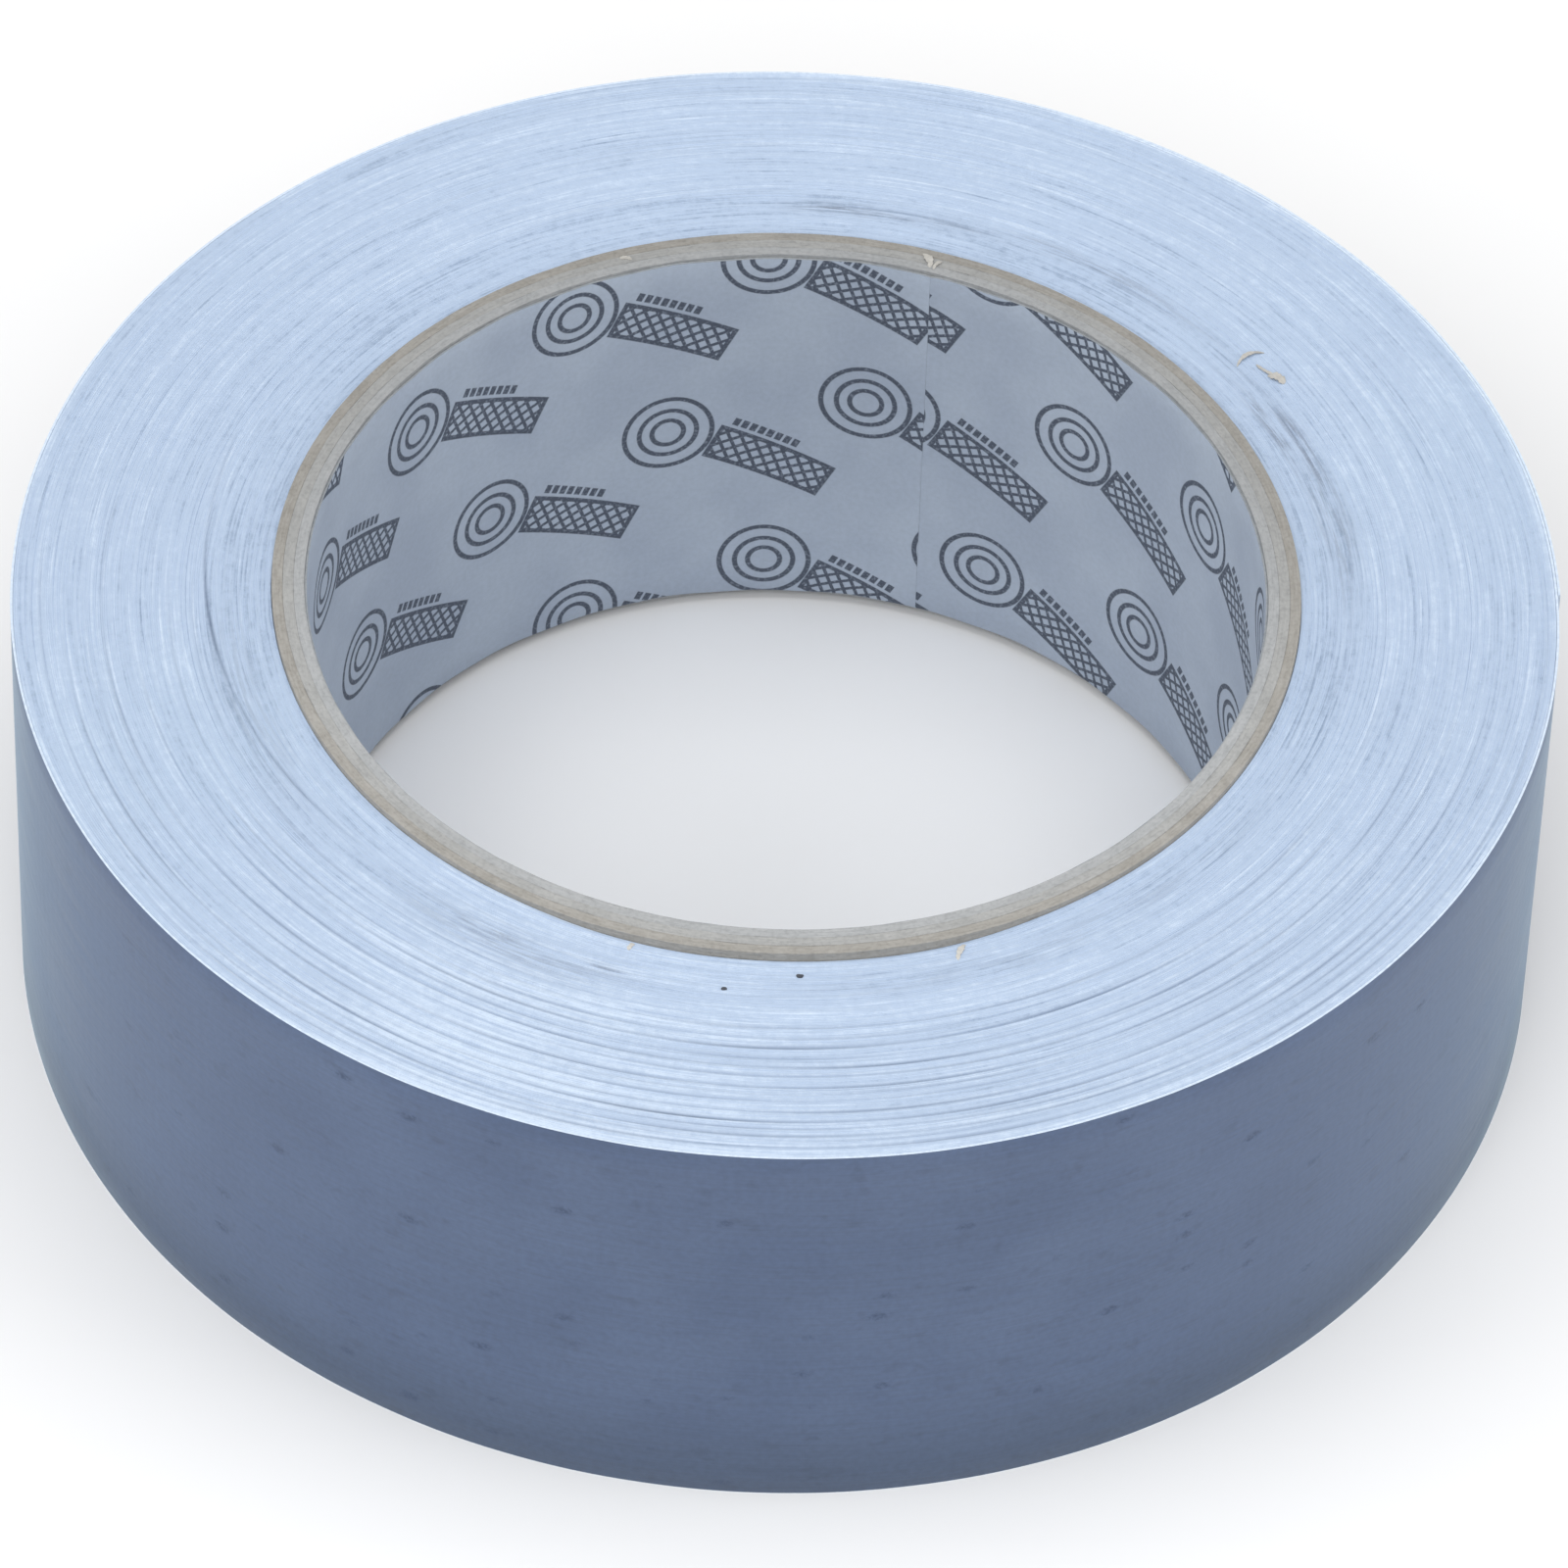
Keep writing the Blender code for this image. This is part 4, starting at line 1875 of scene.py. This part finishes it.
@dataclass
class TapeStrip:
    """The last turn of tape, and its free end as lengths that follow on from one another."""

    sizes: RollSizes
    path: StripPath
    turn_step: float = 1.1 * MM
    tail_step: float = 0.5 * MM
    rows: int = 16
    round_edge: float = 0.045 * MM
    first_bend: float = 1.8 * MM
    first_step: float = 0.15 * MM
    overlap: float = 1.2 * MM

    def build(self) -> list[bpy.types.Object]:
        """Builds the last turn and the lengths of the free end.

        Returns:
            The pieces.
        """
        materials = (FilmFinish().material(), AdhesiveFinish().material(), StripEdgeFinish().material())
        around = FULL_TURN * self.sizes.fold_radius
        turn = self.stretch("last_turn", -(around + self.overlap), 0.0, self.turn_step)
        dress(turn, Slot.FILM, *materials)
        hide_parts("tape_outer_turn")
        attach(turn, "roll")
        return [turn, *self.free_end(materials)]

    def stretch(self, name: str, start: float, end: float, step: float) -> bpy.types.Object:
        """A stretch of the strip, laid flat and then wound into its place on the roll.

        Args:
            name: The piece's name.
            start: Where it starts along the strip.
            end: Where it ends along the strip.
            step: The length of one facet.

        Returns:
            The stretch.
        """
        strip = flat_strip(
            name,
            start=start,
            end=end,
            thickness=self.sizes.tape_thickness,
            bottom=self.sizes.tape_bottom,
            top=self.sizes.tape_top,
            step=step,
            rows=self.rows,
            round_edge=self.round_edge,
        )
        flat = places_of(strip)
        write_map(strip, STRIP_MAP, flat[:, 0], flat[:, 2])
        put_places(strip, self.path.wind(flat))
        smooth(strip, degrees=40)
        return strip

    def free_end(self, materials: tuple[bpy.types.Material, ...]) -> list[bpy.types.Object]:
        """The lengths of the free end. Each runs from the middle of one CAD length to the next one's.

        Args:
            materials: The film, the adhesive and the cut edge.

        Returns:
            The lengths, the one at the peel line first.
        """
        spacing = self.sizes.fold_spacing
        count = len(self.sizes.folds)
        pieces = []
        for number in range(1, count + 1):
            start = max(0.0, (number - 1.5) * spacing)
            end = self.path.tail_length if number == count else (number - 0.5) * spacing
            step = self.first_step if number == 1 else self.tail_step
            piece = self.stretch(f"free_end_{number}", start, end, step)
            dress(piece, Slot.FILM, *materials)
            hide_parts(f"tape_tail_{number}")
            bend_end = self.first_bend if number == 1 else (number - 0.5) * spacing
            from_place, to_place = self.path.point(start), self.path.point(bend_end)
            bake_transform(piece)
            pieces.append(piece)
        return pieces


@dataclass
class LooseThreads:
    """Ends of the cloth's threads that stick out of the cut across the free end."""

    sizes: RollSizes
    path: StripPath
    pitch: float = 1.25 * MM
    thickness: float = 0.11 * MM
    longest: float = 1.0 * MM
    root: float = 0.25 * MM
    lengths: int = 2
    taper: float = 0.75
    seed: int = 5

    def build(self) -> bpy.types.Object:
        """Builds the threads as one piece that goes with the last length of the free end.

        Returns:
            The piece.
        """
        draw = np.random.default_rng(self.seed)
        threads = []
        count = round(self.sizes.tape_width / self.pitch)
        for number in range(count):
            height = self.sizes.tape_bottom + (number + 0.5) * self.pitch
            length = self.longest * float(draw.uniform(0.15, 1.0) ** 2)
            threads.append(self.thread(height, length, float(draw.uniform(-0.5, 0.5))))
        piece = join_up(threads, "loose_threads", degrees=50)
        dress(piece, Slot.TURN_EDGES, ThreadFinish().material())
        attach(piece, f"tail_{len(self.sizes.folds)}")
        return piece

    def thread(self, height: float, length: float, bend: float) -> bpy.types.Object:
        """One thread: a six-sided stem that tapers and bends up or down.

        Args:
            height: Its height on the tape.
            length: How far it sticks out.
            bend: How far its tip goes up, as a share of its length.

        Returns:
            The thread, in its place on the roll.
        """
        lay_down_tools()
        start = self.path.tail_length - self.root
        bpy.ops.mesh.primitive_cylinder_add(
            vertices=6,
            radius=self.thickness / 2,
            depth=self.root,
            end_fill_type="NGON",
            location=(start + self.root / 2, 0, height),
            rotation=(0, math.pi / 2, 0),
            calc_uvs=False,
        )
        thread = bpy.context.object
        bpy.ops.object.transform_apply(location=True, rotation=True, scale=True)
        bpy.ops.object.mode_set(mode="EDIT")
        tip = start + self.root
        part = length / self.lengths
        for _ in range(self.lengths):
            select_verts(thread, lambda co, tip=tip: co.x > tip - 0.01 * MM)
            bpy.ops.mesh.select_mode(type="FACE")
            bpy.ops.mesh.extrude_region_move(TRANSFORM_OT_translate={"value": (part, 0, bend * part)})
            bpy.ops.transform.resize(value=(1, self.taper, self.taper))
            tip += part
        bpy.ops.object.mode_set(mode="OBJECT")
        put_places(thread, self.path.wind(places_of(thread)))
        return thread


# ---------------------------------------------------------------- paper flakes on the end face


@dataclass(frozen=True)
class Flake:
    """A torn bit of paper: its direction from the axis in degrees, its radius, its size and its lie.

    It is turned, in degrees, from pointing away from the axis. The arch and the curl are shares of
    its length.
    """

    middle: float
    radius: float
    length: float
    width: float
    turned: float
    arch: float
    curl: float
    on_core: bool = False


@dataclass
class PaperFlakes:
    """Bits of board that the blade tore off and left on the upper end face."""

    sizes: RollSizes
    thickness: float = 0.07 * MM
    ragged: float = 0.35
    waves: tuple[float, float] = (9, 4)
    taper: float = 0.9
    narrowest: float = 0.05
    curl_centre: float = 0.4
    flakes: tuple[Flake, ...] = (
        Flake(37.9, 46.6 * MM, 2.8 * MM, 0.34 * MM, 0, 0.16, -0.35),
        Flake(35.4, 46.8 * MM, 2.0 * MM, 0.26 * MM, -73, 0.12, 0.20),
        Flake(33.9, 47.1 * MM, 1.6 * MM, 0.80 * MM, -68, 0.22, -0.20),
        Flake(290.1, 41.7 * MM, 1.8 * MM, 0.44 * MM, -38, 0.12, 0.15),
        Flake(254.6, 41.3 * MM, 0.9 * MM, 0.36 * MM, -15, 0.15, 0.10),
        Flake(74.4, 39.5 * MM, 1.7 * MM, 0.60 * MM, 35, 0.14, 0.25, on_core=True),
        Flake(73.2, 39.2 * MM, 1.2 * MM, 0.32 * MM, -20, 0.18, -0.20, on_core=True),
        Flake(110.8, 39.6 * MM, 1.0 * MM, 0.40 * MM, 65, 0.12, 0.15, on_core=True),
    )

    def build(self) -> bpy.types.Object:
        """Builds the flakes as one piece on the roll.

        Returns:
            The piece.
        """
        slips = [self.flake(flake) for flake in self.flakes]
        joined = join_up(slips, "paper_flakes", degrees=50)
        finish = BoardFinish("flake", (0.49, 0.47, 0.43), (0.66, 0.65, 0.62))
        dress(joined, Slot.OUTER_BOARD, finish.material())
        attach(joined, "roll")
        return joined

    def flake(self, flake: Flake) -> bpy.types.Object:
        """One flake: a slip of paper with ragged sides, arched over the face and curled sideways.

        Args:
            flake: Its place, its size and its lie.

        Returns:
            The flake, in its place on the roll.
        """
        lay_down_tools()
        bpy.ops.mesh.primitive_grid_add(x_subdivisions=12, y_subdivisions=3, size=1, calc_uvs=False)
        slip = bpy.context.object
        slip.scale = (flake.length, flake.width, 1)
        bpy.ops.object.transform_apply(location=False, rotation=False, scale=True)
        modifier = slip.modifiers.new("wall", "SOLIDIFY")
        modifier.thickness = self.thickness
        modifier.offset = 1.0
        bpy.ops.object.modifier_apply(modifier=modifier.name)
        places = places_of(slip)
        share = places[:, 0] / (flake.length / 2)
        fine, broad = self.waves
        ragged = 1 + self.ragged * np.sin(fine * share + flake.middle) * np.sin(broad * share)
        tapered = np.sqrt(np.clip(1 - self.taper * share**2, self.narrowest, 1))
        aside = flake.curl * flake.length * (share**2 - self.curl_centre) / 2
        places[:, 1] = places[:, 1] * ragged * tapered + aside
        places[:, 2] += flake.arch * flake.length * (1 - share**2) / 2
        turn = Matrix.Rotation(math.radians(flake.middle + flake.turned), 4, "Z")
        direction = math.radians(flake.middle)
        level = (self.sizes.core_top if flake.on_core else self.sizes.tape_top) - self.thickness
        spot = Vector((flake.radius * math.cos(direction), flake.radius * math.sin(direction), level))
        put_places(slip, places)
        slip.data.transform(Matrix.Translation(spot) @ turn)
        return slip


@dataclass
class DarkSpecks:
    """Two crumbs of old adhesive on the upper end face, close to the core.

    A spot is a direction in degrees, a radius and a size. The lumps are shares of the size.
    """

    sizes: RollSizes
    squash: tuple[float, float, float] = (1.25, 0.8, 0.45)
    lumps: float = 0.16
    lump_sizes: tuple[float, float] = (0.07 * MM, 0.06 * MM)
    spots: tuple[tuple[float, float, float], ...] = (
        (272.8, 42.4 * MM, 0.24 * MM),
        (265.2, 44.1 * MM, 0.20 * MM),
    )

    def build(self) -> bpy.types.Object:
        """Builds the crumbs as one piece on the roll.

        Returns:
            The piece.
        """
        crumbs = []
        for direction, radius, size in self.spots:
            lay_down_tools()
            angle = math.radians(direction)
            spot = (radius * math.cos(angle), radius * math.sin(angle), self.sizes.tape_top)
            bpy.ops.mesh.primitive_ico_sphere_add(
                subdivisions=3, radius=size, location=spot, calc_uvs=False
            )
            crumb = bpy.context.object
            crumb.scale = self.squash
            bpy.ops.object.transform_apply(location=True, rotation=True, scale=True)
            places = places_of(crumb)
            along, across = self.lump_sizes
            lumps = np.sin(places[:, 0] / along) * np.cos(places[:, 1] / across)
            centre = np.array(spot)
            put_places(crumb, centre + (places - centre) * (1 + self.lumps * lumps)[:, None])
            crumbs.append(crumb)
        joined = join_up(crumbs, "dark_specks", degrees=60)
        finish = BoardFinish("old_adhesive", (0.05, 0.055, 0.07), (0.11, 0.115, 0.13))
        dress(joined, Slot.TURN_EDGES, finish.material())
        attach(joined, "roll")
        return joined


# ---------------------------------------------------------------- the studio


@dataclass(frozen=True)
class SoftBox:
    """A large soft lamp that points at the roll."""

    name: str
    place: tuple[float, float, float]
    width: float
    height: float
    power: float

    def build(self) -> None:
        """Hangs the lamp."""
        lamp = bpy.data.lights.new(self.name, "AREA")
        lamp.shape = "RECTANGLE"
        lamp.size = self.width
        lamp.size_y = self.height
        lamp.energy = self.power
        holder = bpy.data.objects.new(self.name, lamp)
        holder.location = self.place
        holder.rotation_euler = (-Vector(self.place)).to_track_quat("-Z", "Y").to_euler()
        bpy.context.scene.collection.objects.link(holder)


@dataclass
class Studio:
    """A pale table, an even surround and four soft lamps."""

    table_size: float = 6.0
    surround: Colour = (1.0, 1.0, 1.0)
    surround_strength: float = 0.42
    lamps: tuple[SoftBox, ...] = (
        SoftBox("lamp_top", (0.0, 0.10, 1.30), 1.30, 1.00, 7.2),
        SoftBox("lamp_front", (-0.20, -0.95, 0.98), 0.90, 0.70, 6.9),
        SoftBox("lamp_left", (-1.10, -0.15, 0.55), 0.80, 0.80, 3.6),
        SoftBox("lamp_right", (1.10, -0.15, 0.55), 0.80, 0.80, 4.2),
    )

    def build(self) -> None:
        """Sets up the table, the surround, the lamps and how light becomes colour."""
        lay_down_tools()
        bpy.ops.mesh.primitive_grid_add(
            x_subdivisions=8, y_subdivisions=8, size=self.table_size, calc_uvs=False
        )
        table = bpy.context.object
        name_piece(table, "table_top")
        table.data.materials.append(PaintedFinish().material())
        world = bpy.data.worlds.new("surround")
        world.use_nodes = True
        background = world.node_tree.nodes["Background"]
        background.inputs["Color"].default_value = (*self.surround, 1.0)
        background.inputs["Strength"].default_value = self.surround_strength
        bpy.context.scene.world = world
        bpy.context.scene.view_settings.view_transform = "Standard"
        for lamp in self.lamps:
            lamp.build()


@dataclass(frozen=True)
class Viewpoint:
    """Where the roll is looked at from: in front of it and above, through a long lens."""

    target: tuple[float, float, float] = (0.34 * MM, 0.0, 16.4 * MM)
    distance: float = 876.6 * MM
    elevation: float = math.radians(45.42)
    tilt: float = math.radians(2.006)
    lens: float = 249.34
    sensor: float = 36.0
    clip: tuple[float, float] = (0.05, 20.0)

    def build(self) -> bpy.types.Object:
        """Sets up the camera.

        Returns:
            The camera.
        """
        away = Vector((0, -math.cos(self.elevation), math.sin(self.elevation)))
        level = Vector((1, 0, 0))
        upward = away.cross(level)
        right = math.cos(self.tilt) * level + math.sin(self.tilt) * upward
        up = away.cross(right)
        turn = Matrix((right, up, away)).transposed()
        data = bpy.data.cameras.new("camera")
        data.lens = self.lens
        data.sensor_width = self.sensor
        data.clip_start, data.clip_end = self.clip
        camera = bpy.data.objects.new("camera", data)
        place = Vector(self.target) + self.distance * away
        camera.matrix_world = Matrix.Translation(place) @ turn.to_4x4()
        bpy.context.scene.collection.objects.link(camera)
        bpy.context.scene.camera = camera
        return camera


# ---------------------------------------------------------------- all of it


def report(pieces: list[bpy.types.Object]) -> None:
    """Logs each piece with its number of faces."""
    for piece in pieces:
        log.info("%s: %d faces", piece.name, len(piece.data.polygons))


def corners(box: tuple[Vector, Vector]) -> list[list[float]]:
    """A box's two corners as plain lists."""
    return [list(corner) for corner in box]


def main() -> None:
    """Loads the frame, builds every piece of the roll, and sets up the studio and the camera."""
    logging.basicConfig(level=logging.INFO, format="%(message)s")
    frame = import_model()
    sizes = RollSizes.of_frame(frame)
    path = StripPath(sizes)
    report(Core(sizes).build())
    report(WoundTurns(sizes).build(path))
    report(TapeStrip(sizes, path).build())
    report([LooseThreads(sizes, path).build(), PaperFlakes(sizes).build(), DarkSpecks(sizes).build()])
    Studio().build()
    Viewpoint().build()
    lay_down_tools()


if __name__ == "__main__":
    main()
